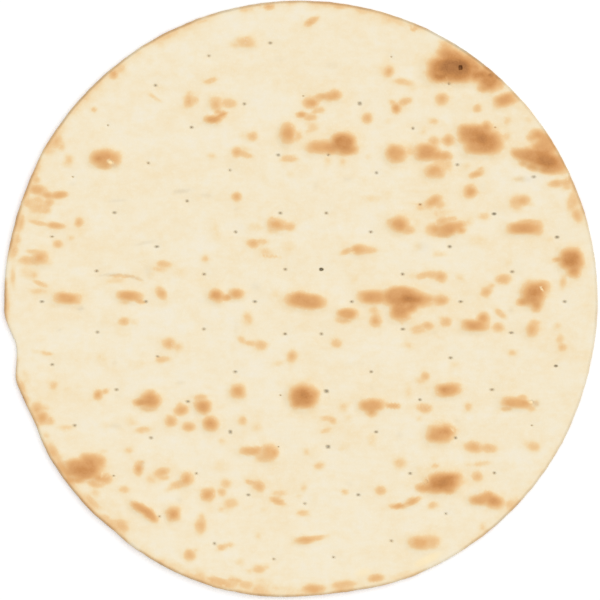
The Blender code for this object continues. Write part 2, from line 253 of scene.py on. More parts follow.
TOAST_UPPER_RIGHT = (
    (7.4, 177.4, 10.5, 5, .38, 28), (25, 187.4, 24, 3, .32, -7), (43, 184, 16, 3, .18, -14),
    (63, 176.6, 15, 4.4, .15, -20), (72.8, 172.4, 5.5, 3, .36), (70.5, 174.3, 4, 2.4, .22), (37.5, 169, 6, 8, .06),
    (56, 145.2, 6.6, 7.6, .42, -30), (53, 144.6, 7, 8, .16), (65.5, 138.6, 16, 5, .26, -8, .3, 2, 1.4),
    (72, 135, 8, 4, .1), (7, 125.3, 10, 7.6, .5), (13, 129.2, 11, 4.8, .37, 8),
    (20.5, 129.6, 12, 5.6, .44, 4, 1.2, 2.8), (22, 132.3, 8, 4, .26), (12.5, 120.6, 9, 4.4, .27),
    (9.3, 119.6, 5, 4, .28), (.8, 117.4, 7.4, 4.2, .46), (6.3, 116, 10, 5, .32), (7.5, 111, 9, 9, .15),
    (6, 107.5, 8, 3.4, .13, 20), (56, 114, 5, 4, .08), (42.8, 115.3, 6.6, 7, .42), (61, 121.8, 6.2, 6.2, .51),
    (66.8, 126, 9.5, 5, .34, 20), (58.3, 125.5, 6.5, 4, .22, -20), (90.3, 127.5, 8.2, 7.8, .42),
    (84.5, 113.8, 7.5, 5, .24), (78, 107, 5, 6, .1), (106, 129, 6, 5, .07), (27, 100.1, 16.3, 12.2, .74, 0, 2.4, 2.2),
    (13.2, 96.8, 20.4, 8.6, .48, 0, 1.4, 2.4), (29.5, 95.4, 14, 7.6, .62), (19.5, 96.4, 14, 8, .54),
    (17.5, 88, 5, 7, .18), (159, 38, 5, 5, .12), (147, 61, 5, 5, .15), (27, 87.6, 5, 7, .15), (43, 91, 5, 4, .12),
    (94, 101.6, 8, 7.4, .46), (85, 100.6, 7.5, 7, .33), (95.8, 146.2, 31.6, 16.6, .75, 0, 3, 3.2),
    (98.5, 153, 26.4, 12.6, .69, -30, 1.8), (89, 141.5, 14, 7, .68), (93.5, 161, 13, 7.4, .36, -30),
    (98.5, 147.4, 30, 15.4, .84, -8, 0, 2.4, 1.6), (103.5, 149.6, 13, 9, .86, 0, 0, 2, 1.8),
    (109, 151, 13, 8, .62, -42), (111.5, 147.4, 9, 7, .66), (112.5, 143.3, 11, 9, .76), (116, 143.5, 8, 7, .76),
    (117.5, 135.2, 10, 6.6, .52), (126.3, 137, 6, 7, .5), (120.3, 139.6, 14.5, 13.5, .73, -25, 1.4, 2.6),
    (119, 146, 9, 7, .55, -42), (121.5, 142.8, 4.6, 4.2, .92), (131, 127.4, 14.6, 8, .57, 17, 1.2, 2.8),
    (127.3, 126.8, 8, 7, .42), (112.2, 121.4, 5.4, 5.2, .34), (132, 114, 6, 6, .15), (146, 115, 6, 5, .08),
    (111.6, 105, 22.2, 13.2, .62, 0, 2.4, 3.4), (118, 109.8, 7.4, 6.6, .54),
    (115.6, 98.8, 22.4, 13.2, .62, 0, 2.4, 3.4), (119.9, 100.4, 17.6, 14, .65, 0, 1.8, 3),
    (106, 107, 11.5, 8.6, .58, 0, 0, 3), (114.2, 102.4, 21, 15, .71, -25, 0, 2, 1.8), (131, 104.3, 6, 7, .16),
    (152.5, 89.8, 30, 11.6, .68, -17, 2.8), (155.5, 93.5, 14, 8, .63), (140.5, 92, 14, 7.6, .54, -28),
    (153, 95.5, 13, 9, .54, -22), (142.5, 87, 8, 6, .36), (158.3, 87.8, 24, 12, .81, -13, 0, 2.4, 1.6),
    (157, 98.5, 17, 14, .54, -58, 1.2, 2.6), (152.5, 104.4, 12, 7.4, .55, -15), (148, 103, 8, 5.6, .4),
    (157.5, 83, 14, 7, .64, -6), (148, 84.5, 10, 6, .46, -20), (151, 97, 10, 8, .46),
    (60.7, 93, 13.2, 11.6, .53, 0, 1.8), (69.5, 95, 9, 7, .18), (80.5, 93.8, 14.5, 10, .6, 0, 1.9, 3),
    (91, 91.3, 11, 6.6, .44), (87, 92, 7, 7, .5), (94, 86, 6, 9, .22), (89, 86.8, 10, 6, .2),
    (85.7, 81.8, 13.8, 9.4, .43, 0, 1.4), (89, 79.6, 7, 6, .3), (85, 62.3, 12, 6.6, .43, 25), (82, 58, 10, 3, .13),
    (76.5, 59, 6, 5, .18), (88.6, 60.6, 6.4, 6, .32), (46, 64.4, 14, 4.6, .12), (56, 66, 10, 8, .09),
    (89, 54, 12, 9, .13), (63.2, 47.8, 13, 9.6, .53, -12, 1.8), (67.5, 44.8, 12, 7, .33, -15),
    (57, 48.8, 6.2, 5.8, .25), (74, 48, 6, 8, .1), (94.5, 45.3, 15.5, 8.4, .6, 8, 2), (86, 44.4, 13, 9, .42),
    (100.8, 47, 10, 6, .46, 18), (102.4, 44.4, 7, 5, .46), (90, 49.4, 9, 6, .36), (91, 41.6, 12, 5, .4),
    (106, 49, 10, 7, .15), (96, 51, 8, 4, .25), (117, 53, 9, 5, .18), (75, 34, 7, 6, .12), (88.5, 28.6, 10, 4, .16),
    (37.5, 31.8, 12.5, 6.8, .43, 0, 1.4), (43.5, 31.4, 11, 5, .28), (28.5, 30.5, 8.5, 4.4, .26, 25),
    (34.5, 13, 5, 7, .09), (78, 15, 10, 5, .29, 12), (84, 15.6, 9, 5.6, .33, -5), (89, 14.2, 8, 6.6, .4, -25),
    (71, 15, 7, 3.4, .12), (101.5, 14, 7, 4.6, .14, -30), (46, 1.4, 19.5, 8.6, .56, 0, 1.3, 3),
    (64, 1.6, 27, 13.4, .64, 0, 2.2, 2.2), (70, .2, 26, 9.5, .76, -3, 0, 2, 1.8),
    (63.2, -6.6, 13, 13.6, .62, 0, 1.8, 2.6), (70.5, -5, 11.5, 7.2, .6, 38), (65, -14.5, 3, 4, .18),
    (81.6, -.4, 8, 2.8, .36), (89, -.5, 10.5, 7, .42), (3.3, -1, 25.6, 9.8, .6, -5, 1.9, 2.6),
    (-1.6, 1.8, 10.2, 5.8, .5), (7.5, -3.7, 13.5, 5.6, .45, -3), (112, 79.8, 9.5, 4.6, .4, 15),
    (115, 82.6, 6, 4, .22, 30), (106, 85, 7, 6, .07), (108.4, 68.6, 7.8, 7.8, .52), (141.5, 63, 10.5, 7, .43, 8),
    (138, 61.6, 9, 11, .3), (163, 73.8, 11, 5.4, .38), (169.3, 74, 8, 5.6, .4), (170, 71.4, 7, 4.6, .28),
    (173.7, 63, 8, 17, .25, -17), (176.3, 53.5, 6.5, 9, .41, 15), (142, 45.3, 21, 7.4, .59, 0, 1.9, 3.2),
    (144.5, 48.3, 20, 5.6, .36, 4), (150.5, 45.5, 8, 8.6, .44, 0, 0, 3), (172.7, 25.5, 14.6, 14, .74, 0, 2.4, 2.8),
    (174, 18.4, 9, 8.6, .61, 0, 1.2, 2.6), (165, 25.3, 9, 4, .4), (167.2, 11.5, 5, 10.5, .26, -8),
    (172, 10, 8, 6, .06), (129.6, 13, 10.5, 6.8, .37), (118.6, 5.2, 8, 6, .37, 30), (121.3, 8.5, 6, 4.4, .22, 20),
    (113, 38, 11, 6, .08), (132.5, 23.7, 5, 5, .1), (148.5, 3, 14.5, 14.5, .66, 25, 2.4, 2.3),
    (152.5, 7.6, 11.5, 8.4, .6, 0, 1.4, 2.6), (150.5, -3, 8.4, 8.4, .6), (142.5, -1, 11, 6, .54, 12),
    (149, 5, 14, 12, .7, 0, 0, 2, 2),
)
TOAST_LOWER_LEFT = (
    (-187.5, -4, 3, 16, .4, -3), (-112.3, -14, 7.4, 5.8, .34), (-106, -14.2, 6, 4, .12), (-112, -1.5, 10, 4, .18),
    (-102.5, -1.3, 7, 3.4, .36, -15), (-126, -38.2, 8, 8, .13), (-165, -25, 6, 5, .06),
    (-161.5, -34.4, 9, 3.4, .22, -8), (-168.5, -33.4, 7, 3, .12, -8), (-157.3, -55, 6, 5.4, .2),
    (-147.5, -57, 5, 5, .06), (-177.5, -56.5, 4.4, 11, .34, 22), (-175, -49, 5, 8, .14, 20), (-123, -80, 9, 5, .1),
    (-128.8, -60.6, 6, 6.2, .47), (-124.6, -58.6, 6, 4, .28, 20), (-165, -75.5, 9, 9, .47, 20),
    (-168, -69.5, 9, 8, .37), (-159.8, -77.5, 7, 6, .3), (-163, -69, 6, 5, .22), (-162, -87, 6, 5, .18),
    (-130.5, -123, 6, 6, .2), (-123.8, -114.2, 7, 6.4, .42), (-124, -130, 10, 10, .09),
    (-154.4, -101.4, 6, 7, .32, 30), (-150, -82, 12, 5, .12), (-108, -78, 9, 7, .13), (-104, -42, 12, 8, .09),
    (-118, -45, 12, 8, .08), (-51, -106, 10, 8, .08), (-101, -83.2, 10.5, 5, .27, 8),
    (-95.9, -64.3, 13.6, 11, .62, 0, 2.2), (-101.2, -65.4, 12, 5.6, .53), (-95.3, -59.3, 7.6, 5.2, .34),
    (-97, -69.6, 12.5, 5, .24), (-83.8, -28.2, 9.2, 7.8, .31), (-77.5, -30.6, 7.5, 6, .19, -30),
    (-87.5, -38.3, 10, 4.8, .24), (-33.8, -12, 6.6, 8.6, .27), (-37, -25.8, 8, 4.6, .25, -45),
    (-31.5, -28.2, 9, 4, .25, -12), (-25, -29.3, 9, 6.6, .31), (-5.5, -36.5, 6, 7.8, .38),
    (-13, -40.5, 11, 4, .11, 15), (-39.8, -58.5, 9.2, 9.4, .49, 0, 1.4, 2.6), (-75.8, -70.8, 9, 6.6, .48),
    (-77, -67.5, 5, 4, .25), (-61.8, -68.4, 10.2, 9.4, .63, 0, 1.8), (-63, -63, 9, 5.4, .32),
    (-82.8, -77.2, 7.6, 6.8, .38, 0, .6, 2.6), (-71, -81.3, 7.8, 6.2, .42), (-57.3, -79.3, 9.8, 8.6, .63, 0, 1.6),
    (-37, -77.2, 5.6, 6, .26), (-28, -81.5, 7, 6, .1), (-50.5, -90, 5.5, 4.4, .15),
    (-31, -96.5, 16, 5.8, .43, -1, 1.3, 3), (-20, -97.6, 12, 11.6, .45, 0, 1.6), (-23.5, -100.6, 12, 7, .28),
    (-16.5, -97.8, 5.4, 6.4, .44), (-157.8, -96.8, 7, 11, .4, 30), (-138.6, -107.6, 23.5, 13, .65, 0, 2.2, 3.2),
    (-133.5, -102.6, 15, 9, .57, -5, 1.6, 2.8), (-138, -109, 22, 9, .62, 0, 0, 2.4, 1.4),
    (-128, -113.4, 12, 6.6, .45, -15), (-137.5, -112.6, 14, 5.6, .6), (-142, -115, 12, 5, .42),
    (-128, -103.5, 8, 8, .5), (-131, -117.3, 11, 5, .32, -12), (-147, -115, 8, 5, .44, -45), (-127, -97, 10, 3, .1),
    (-109, -96.3, 5.4, 4.2, .2), (-103.2, -108, 6, 9, .53), (-102, -104, 5, 3, .25),
    (-88.4, -110.4, 11, 6.2, .35, 22), (-94.5, -114.3, 7, 6.4, .19), (-87, -113.8, 8, 4.4, .24, 10),
    (-112.2, -121, 7, 5.2, .24), (-102, -132.8, 14, 5.6, .55, -30, 1.8), (-96.3, -137, 13, 6, .58, -42, 1.4),
    (-92.8, -140, 6, 5, .34), (-114.5, -144.5, 11, 9.4, .29, -35), (-80.8, -136.5, 8.8, 8.4, .56, 0, 1.5, 2.3),
    (-151.5, -107.5, 7, 14, .46, 34), (-148, -111, 8, 8, .46), (-133, -129, 6, 14, .29, 42),
    (-124, -139.5, 8, 4, .25, -42), (-72.5, -114.8, 9, 8.4, .46, 20, 1.6), (-78, -118, 13, 6, .3, 15),
    (-82.5, -120.6, 10, 4, .17, 15), (-59, -124.4, 8.4, 8.4, .51, 0, .8, 2.3), (-47.5, -117.6, 7, 7, .24),
    (-50, -122.6, 6, 6.4, .27), (-44.5, -130, 9.4, 8, .22), (-51, -134, 5, 4, .12), (-26.5, -119.2, 8, 5.8, .37, -25),
    (-31, -116.6, 9, 3.6, .28, -12), (-14.5, -128.6, 11.5, 4.4, .32, -25), (-14, -123.6, 11, 5, .15),
    (-24, -134, 4, 3, .11), (-63.8, -144, 7, 9.6, .38), (-63, -138, 5, 5.4, .2), (-70.4, -162.8, 7.6, 7.2, .43),
    (-67, -160, 5, 4, .18), (-50.5, -158, 7.6, 4.6, .28), (-46, -156.3, 8, 3, .2), (-27, -151, 4.4, 4.4, .11),
    (-38, -167, 8, 5, .11), (-41, -179.4, 12, 5, .27, -12), (-26.5, -172, 9.4, 5.8, .3),
    (-22, -170.6, 6, 3.4, .18, 20), (-32, -173, 5, 4, .14), (-67, -173, 7, 7, .13), (-51, -180.3, 22, 6, .34, -16),
    (-35, -182, 11, 5.6, .24, -6), (-15, -184.4, 26, 5, .12, -4), (-78, -169.5, 12, 5, .16, -27),
)
TOAST_LOWER_RIGHT = (
    (30, -9, 13.2, 6.8, .56, 0, 1.5), (27, -13, 11, 5.4, .23), (48, -13.6, 7.2, 8.2, .41), (47, -7.6, 7, 7, .19),
    (93, -14.5, 6.6, 6.8, .33), (91, -12, 6, 4.4, .13), (75.5, -19, 10, 6.6, .22, 10), (81.3, -16.8, 7, 5.4, .3),
    (22.7, -27.8, 7.6, 5.8, .3), (68, -29, 8, 4, .11), (69, -60, 7, 7, .12), (79, -49, 6.2, 5.8, .37),
    (77, -51.6, 7.6, 5.4, .16), (98.5, -42, 7.5, 6, .12), (1.8, -61.8, 19.2, 15.6, .7, 0, 2.8, 2),
    (2, -61.2, 17, 13, .7, 0, 0, 2, 1.8), (-2.6, -66, 8, 6.6, .56), (9, -60, 6.4, 7, .5),
    (45.5, -67.4, 16, 7.6, .58, 0, 1.8, 2.8), (45.6, -71, 8, 7.4, .5), (58.5, -67.8, 10.5, 3.6, .38, 0, .6, 3.4),
    (46, -89.5, 6, 7, .09), (28, -95, 8, 3, .11), (27.5, -69, 7, 7.4, .17), (30, -75, 6, 5, .11),
    (20, -77.2, 5.2, 4.8, .27), (16, -75.8, 7.4, 3.6, .2), (16, -83.5, 8.4, 4.2, .14, 20), (4.2, -97.3, 4.6, 5, .2),
    (8, -98, 10, 8, .1), (11.7, -106.2, 7.6, 5.2, .26), (29.5, -94, 6, 5, .09), (78.8, -69.4, 9.4, 6, .32),
    (75.5, -76, 4.4, 4, .14), (94, -57.4, 15.4, 8.8, .55, 8, 1.8, 2.5), (92, -57.5, 9, 5, .6),
    (106.7, -68.6, 5.2, 5.4, .26), (88.8, -85.5, 16.6, 12, .55, 0, 2.1, 3.2), (92, -84.4, 12, 8, .7, 0, 0, 2, 1.6),
    (88, -78.6, 10, 5, .12), (111.4, -16.6, 16, 7.4, .56, 0, 2, 3), (116.5, -12.3, 7.6, 7.8, .55),
    (127.6, -9, 9, 5, .26, -42), (126, -17.8, 7.6, 6.2, .34), (147.4, -19.2, 8, 8.2, .44, 0, 1.2),
    (149, -15.4, 6.4, 6, .27), (164, -17.2, 5.4, 5.2, .15), (165, -25.6, 4.4, 6.4, .19), (167, -30.6, 5.8, 4.8, .28),
    (135.5, -34, 6.4, 4.6, .21), (149, -38, 6, 5, .06), (101, -44, 6, 5, .07),
    (136, -65.6, 17.4, 7.4, .48, -4, 1.9, 2.6), (142.5, -66.6, 10, 6, .52, -10), (141.3, -62.8, 7, 4.6, .32),
    (150, -66, 4, 4, .26), (147, -69.2, 6, 5, .26), (139, 76.6, 8, 4, .16), (131, -69.6, 8, 4, .27),
    (110.5, -94.3, 13.4, 7.2, .42, -8), (120, -95, 12, 6, .33, -5), (148.8, -94, 8.4, 6.8, .28),
    (144, -92, 7, 5, .11), (160, -96, 5, 5, .09), (115.5, -105, 12.5, 3.8, .18, 8), (107, -105.6, 6, 3, .09),
    (113, -112.7, 7.2, 6.2, .33), (63.8, -104.6, 8.4, 7.6, .23), (85.8, -106, 6.2, 3.2, .2), (75.5, -108, 3, 6, .08),
    (28.3, -122.8, 5.2, 3.8, .25), (51.3, -121.8, 6.6, 6.2, .32), (2.5, -120, 4, 5.4, .19), (-1, -125.5, 5, 3, .11),
    (1.6, -136, 10, 4.2, .26), (90.3, -116.9, 22.8, 13, .68, 9, 2.6, 2.5),
    (90.6, -117.2, 21.4, 11, .69, 8, 0, 2, 1.8), (79.5, -120.2, 11.8, 6.3, .52, 0, 1.2), (94, -121.6, 9, 5, .56),
    (96.9, -113.5, 12.4, 6, .6, 8, 0, 2.6), (62.5, -132, 11.5, 4, .42, 5), (71.4, -128.7, 12.6, 4.8, .45, 23, 1.2),
    (83.8, -131.4, 7.2, 5.6, .27, 15), (76.2, -155, 13.6, 8.8, .43, 0, 1.7, 2.4),
    (82, -154.4, 13, 8.8, .33, 0, 1.2, 2.6), (3.5, -153, 13.5, 5.2, .46, 4, 1.4), (10, -151.9, 14, 4.2, .31, 6),
    (15.5, -150.8, 8, 3, .14), (-4, -154.6, 7, 4, .12, 35), (8, -184.5, 15, 6.8, .44), (27, -182, 17.5, 5.8, .34, 6),
    (48.5, -177.3, 11.4, 5.4, .38, 8), (64, -176, 18, 5, .08, 18), (115.5, -127.3, 15.5, 7.2, .54, 4, 2),
    (122.5, -128.4, 13.4, 8.4, .64, -18, 1.2), (119, -124.8, 9, 4.6, .47), (133.6, -131, 7, 6, .26, -40),
    (116, -145.2, 5.6, 6.2, .21), (152, -104, 8, 5, .07),
)
# Painted shade of fine wrinkles, small ridges and faint dents, grey-beige, with the same columns
WRINKLE_SHADES = (
    (-117, 62.6, 11, 2, .24, 3), (-99, 35.8, 14, 2.4, .22, 8), (-145.5, 73.5, 4, 3, .16), (-97.5, 18, 4.4, 7.5, .16),
    (-75.5, 69, 13, 2.4, .34, 9), (-60, 66.2, 9, 2.8, .2), (-28, 8.5, 6, 5, .2), (30, 76.2, 6, 3, .18),
    (9.5, 72.4, 4, 4.4, .13), (142.5, 76.6, 12, 4, .27, -4), (-118, -80.7, 7, 3.4, .22), (-76.5, -53, 5, 2.6, .22),
    (20, 149, 9, 5, .1), (-13, 153, 9, 3, .1), (63.6, -86.5, 4.4, 4.4, .16), (-140, -6, 5, 2.8, .45, 15),
    (-121.5, 15.8, 16, 1.8, .34, 3), (-107, 14, 16, 1.8, .32, -12), (-41, -18, 2.2, 9, .13),
    (-153.5, -19.5, 3, 2, .25), (-118, -40.5, 3, 3, .2), (58, 154.6, 4.5, 2.6, .12), (-77.5, -127.6, 4, 3, .2),
    (-106.5, -155.4, 3, 1.6, .5, -32), (-108.5, -127.6, 2, 2, .2), (134, -7, 2.6, 2.6, .25),
    (99.5, -78.4, 2.6, 3, .18), (31.5, -117.5, 5, 3.4, .12), (85, -21.2, 5, 3, .12), (-100.6, -105.6, 1.6, 5, .4),
    (-118.7, 85.6, 4, 3, .3, -30), (-41, 57.5, 3, 2.4, .14), (149.8, -66.2, 4, 4, .4), (116, 71.5, 5, 5, .1),
    (112, -122.3, 6, 4, .1), (35, -41, 14, 2.4, .08), (78, 34, 8, 6, .18), (-116, -62, 6, 2.4, .1),
    (45.5, -56.5, 3, 4, .12), (-63, -1.5, 6, 3, .08),
)
# Pale flecks where a little crust has flaked off, with the same columns; the ones at 153.8, 7 and 103.5, 48.4 are
# painted highlights on the edges of blisters
FLECKS = (
    (-126.3, -111.8, 1.8, 4.4, .8, -15), (-123.6, -113, 2.4, 2.4, .5), (-117.6, -111.8, 3.4, 1.4, .5, 20),
    (96.8, -83, 3.8, 2, .65, -35), (97.8, -84.5, 2.2, 1, .45, -40), (87, 17.2, 2.6, 1.3, .45),
    (-54, 118.3, 2.6, 1.2, .4, 30), (-25.6, -174.8, 3, 1.5, .4), (-49, -182.3, 3, 1.4, .6, -15),
    (-39.6, -181.3, 3, 1.8, .6), (-178, -50.5, 2, 3, .5, 20), (-121, 87.6, 5.6, 3.4, .85, -25),
    (121.6, 142.8, 1.9, 1.7, .4), (33, 29.9, 4.2, 2.4, .65), (32.2, 34, 1.5, 3, .4), (-82.6, 21.6, 4.2, 2, .35),
    (153.8, 7, 5.4, 1.7, .8, -58), (146.4, -65.3, 3.4, 3, .65), (80.9, -115.3, 2.6, 3.4, .5, 20),
    (-.8, -187.3, 1.6, 3.4, .55), (111.9, -144, 2.6, 2.6, .35), (103.5, 48.4, 2, 1.4, .4), (-100, -106.5, 1, 2.2, .4),
    (81, -165.8, 24, 7, .6, 26), (40, -174, 14, 7, .5, 13),
)
# The rim's browning: angle (degrees), level, width (mm), strength of the painted shade along the very edge
RIM_TONES = (
    (0, 0, 3, .3), (5, 0, 3, .25), (13, .02, 3, .28), (15, .08, 4, .35), (18, .22, 6, .5), (21, .22, 6, .5),
    (22.5, .3, 2.5, .6), (24, .28, 6, .45), (25.5, .04, 4, .35), (27, .2, 4, .5), (34, .2, 4, .5), (36.5, .04, 4, .3),
    (38, .08, 4, .28), (41.5, .03, 3, .3), (43.5, .1, 3, .6), (46, .04, 3, .32), (48, .2, 3, .8), (51, .2, 3, .8),
    (54, .12, 3, .85), (60, .05, 3, .9), (64, .05, 3, .88), (66, .22, 3.5, .75), (69, .12, 4, .7), (72, .22, 5, .7),
    (76, .2, 4, .78), (79, .28, 3.5, .8), (82, .4, 3.2, .8), (86, .38, 3, .85), (89, .22, 2.6, .8), (92, .2, 3.5, .7),
    (98, .14, 4, .72), (101, .22, 4.5, .68), (104, .05, 3, .65), (108, .18, 3.5, .62), (112, .18, 3.5, .8),
    (116, .28, 2.8, .85), (119, .28, 4, .8), (122, .26, 4.5, .8), (125, .1, 3.5, .75), (127, .14, 4, .75),
    (132, .18, 3.5, .75), (136, .18, 3.5, .75), (140, .22, 3.5, .8), (143, .12, 3, .8), (146, .32, 5.5, .55),
    (149, .3, 5.5, .45), (151, .08, 3, .42), (153, .26, 3.5, .42), (155, .32, 2.8, .6), (157.5, .42, 2.8, .65),
    (159, .2, 2.8, .65), (161, .12, 3, .4), (163, .3, 2.8, .75), (165, .42, 3.5, .7), (167, .24, 2.8, .6),
    (169.5, .42, 2.2, .6), (172, .04, 2, .15), (175.5, .02, 2, .12), (177, .3, 2.4, .55), (179, .42, 2.6, .7),
    (182.5, .44, 3, .7), (184.5, .06, 3, .2), (187, 0, 3, .1), (191, 0, 3, .08), (193.5, .14, 2, .4),
    (195.5, .26, 2.2, .5), (198.5, .28, 2.8, .65), (201, .22, 3.5, .6), (204, .3, 4, .55), (207, .08, 3, .42),
    (209, .16, 3, .5), (211, .34, 4.5, .7), (214, .3, 3, .75), (218, .36, 4, .6), (220, .16, 3, .7),
    (223.5, .42, 2.8, .7), (228, .32, 4, .7), (231, .3, 6, .55), (234, .12, 3, .48), (237, .04, 3, .42),
    (239.5, .28, 2.5, .65), (242, .22, 3.5, .65), (246, .22, 3.5, .6), (250, .25, 4.5, .55), (253, .36, 4.5, .6),
    (256, .18, 3, .5), (258.5, .26, 3, .55), (261, .24, 7, .65), (265, .16, 5, .65), (268, .16, 4, .6),
    (270, .24, 4, .55), (275.5, .1, 4, .5), (278, .34, 5.5, .55), (281, .15, 3, .55), (288, .12, 3, .48),
    (293, .14, 3, .42), (296, 0, 3, .28), (302, 0, 3, .2), (305, .14, 3, .55), (308.5, .26, 4, .72),
    (311, .06, 3, .6), (313, .05, 3, .6), (315.5, .26, 6, .6), (318, .08, 3, .42), (323, .07, 3, .35),
    (326, .1, 3, .45), (328.5, .16, 4, .4), (331, .04, 3, .36), (339, .02, 3, .35), (343, 0, 3, .22),
    (353, 0, 3, .22), (356, .02, 3, .45), (358, 0, 3, .42),
)
# Docker holes that stray from their ring: x, y on the ring, then the shift along X and Y (mm)
PIN_STRAYS = (
    (-13, -58.5, .2, -2.6), (76, 62.5, .4, -2.2), (48.5, 82.5, -.2, -1.7), (133.5, 18, 1.4, -.5), (122, 55, 1.3, -.7),
    (100.5, 87, -.6, -1.1), (71.5, 110.5, .2, -1.5), (-34, 125, -1.7, -.3), (-68, 110.5, -1.6, -.8),
    (1.5, -129, .9, -1.1), (121, -57.5, 1.1, 0), (133, -21, 1.3, -.4), (125, 111, -.9, -1.6), (59, 155, -1.4, -.5),
    (-18, 164, -1.6, -.8), (-56, 155, -2.6, 0), (-91, 137.5, -1.4, -.9), (-121.5, 111, -1.2, -.3),
    (-160, 39.5, 1.6, .3), (-159.5, -42.5, 1, .8), (-120, -113, 1, .5), (-17.5, -164.5, .3, -1.1),
    (58.5, -155.5, -.5, 1.7), (93, -138.5, -.6, 1.7), (123.5, -113, -.1, 2.2), (75.5, -65, .7, 1.2),
    (94.5, -36.5, .8, -.9),
)
# Docker holes that stand out: x, y (mm), then how large each is and how dark its painted shade is beside the usual
# one
PIN_SIZES = (
    (13.5, 19, 1, 4.4), (163.3, -42.7, .82, 2.4), (17, -58, 1.25, 1.56), (-44.5, -84.5, 1.25, 1.56),
    (17.8, -93.5, 1.25, 1.56), (36.5, 125.5, 1.25, 1.56), (1, 130, .55, .3), (57.5, 154.5, .55, .3),
    (-122.5, 110.5, .75, .45), (-144.5, 78.5, .6, .36), (-13, -61, .6, .36), (-13.3, -94.8, .55, .3),
    (147, -80, .6, .36), (-119, -112.5, .7, .49), (-90, -138, 1, .3), (76, 60.5, .9, .3), (17.5, 92, 1, .45),
    (92.5, -136.5, 1.05, .4), (-66.5, -111, .95, .6), (21, -164.5, 1.05, .4), (58, -154, 1.1, .5),
    (2.5, -130, 1.05, .4), (-158.5, 40, .9, .5), (-58.5, 155, 1.05, .4), (-91.5, -36.5, .9, .5), (124, 109.5, .6, .1),
    (-17, -165.5, 1.05, .4), (-45, 82.5, 1, .5), (123.5, 54.5, .95, 2.2), (163.5, 39.5, 1, 1.7),
    (95, 33.5, 1.05, 1.5), (-97, 87, 1.05, .6), (94, 136.5, 1, .5),
)


@dataclass(frozen=True)
class Crater:
    """A small blister that has burst: a ring-shaped lip round a shallow floor. Sizes are millimetres."""

    x: float
    y: float
    half: float               # half its size along X
    depth: float
    lip: float                # how high its lip stands
    pale: float               # how much pale crumb shows on its floor
    dark: float               # how dark the painted shadow in its crevice is
    tall: float = 0.8         # its size along Y, as a part of that along X


CRATERS = (
    Crater(102.0, 147.5, 2.4, 2.2, 0.10, 0.0, 1.6, 0.66),
    Crater(-121.0, 87.5, 1.7, 0.5, 0.20, 0.5, 0.25),
    Crater(147.0, -65.5, 1.9, 0.5, 0.20, 0.4, 0.25),
    Crater(153.5, 6.5, 1.4, 0.4, 0.15, 0.4, 0.15),
    Crater(80.0, -116.0, 1.5, 0.4, 0.15, 0.3, 0.20),
)


# --------------------------------------------------------------------------------------------------------------
# The bread's form


@dataclass(frozen=True)
class Outline:
    """The bread's outline seen from above: a round with a few shallow flats and one nick."""

    radius: float = 190.6 * MM
    tuck: float = 1.1 * MM                     # how far the skin's flat parts end inside the outline
    ripple: float = 0.22 * MM                  # mean depth of the fine ripple
    dip_power: float = 0.8                     # below 1, a dip is broader than a raised cosine
    rough: SoftNoise = SoftNoise(seed=3, cell=6.0 * MM, layers=2)
    dips: Rows = (                             # middle and half width in degrees, depth in metres
        (13.0, 56.0, 1.1 * MM),
        (150.0, 34.0, 0.8 * MM),
        (161.0, 13.0, 1.4 * MM),
        (175.0, 13.0, 1.4 * MM),
        (189.4, 6.6, 5.2 * MM),
        (198.0, 26.0, 2.0 * MM),
        (204.6, 8.0, 1.9 * MM),
        (220.0, 14.0, 0.8 * MM),
        (230.5, 5.0, 0.8 * MM),
        (251.0, 18.0, -0.9 * MM),
        (277.0, 16.0, 1.8 * MM),
        (345.0, 14.0, 0.4 * MM),
    )

    def radius_at(self, angle: Array) -> Array:
        """The outline: a round, less a broadened raised cosine for each dip, less a fine ripple.

        Args:
            angle: directions in radians, from +X towards +Y.

        Returns:
            The radius in each direction, in metres.
        """
        radius = np.full(np.shape(angle), self.radius)
        for middle, half_width, depth in self.dips:
            away = np.minimum(1.0, np.abs(turn_between(angle, math.radians(middle))) / math.radians(half_width))
            radius = radius - depth * (0.5 + 0.5 * np.cos(math.pi * away)) ** self.dip_power
        ripple = self.rough.at(self.radius * np.cos(angle), self.radius * np.sin(angle))
        return radius - self.ripple * (1.0 + ripple)

    def inset(self, x: Array, y: Array) -> Array:
        """How far inside the outline each place lies, in metres."""
        return self.radius_at(np.arctan2(y, x)) - np.hypot(x, y)


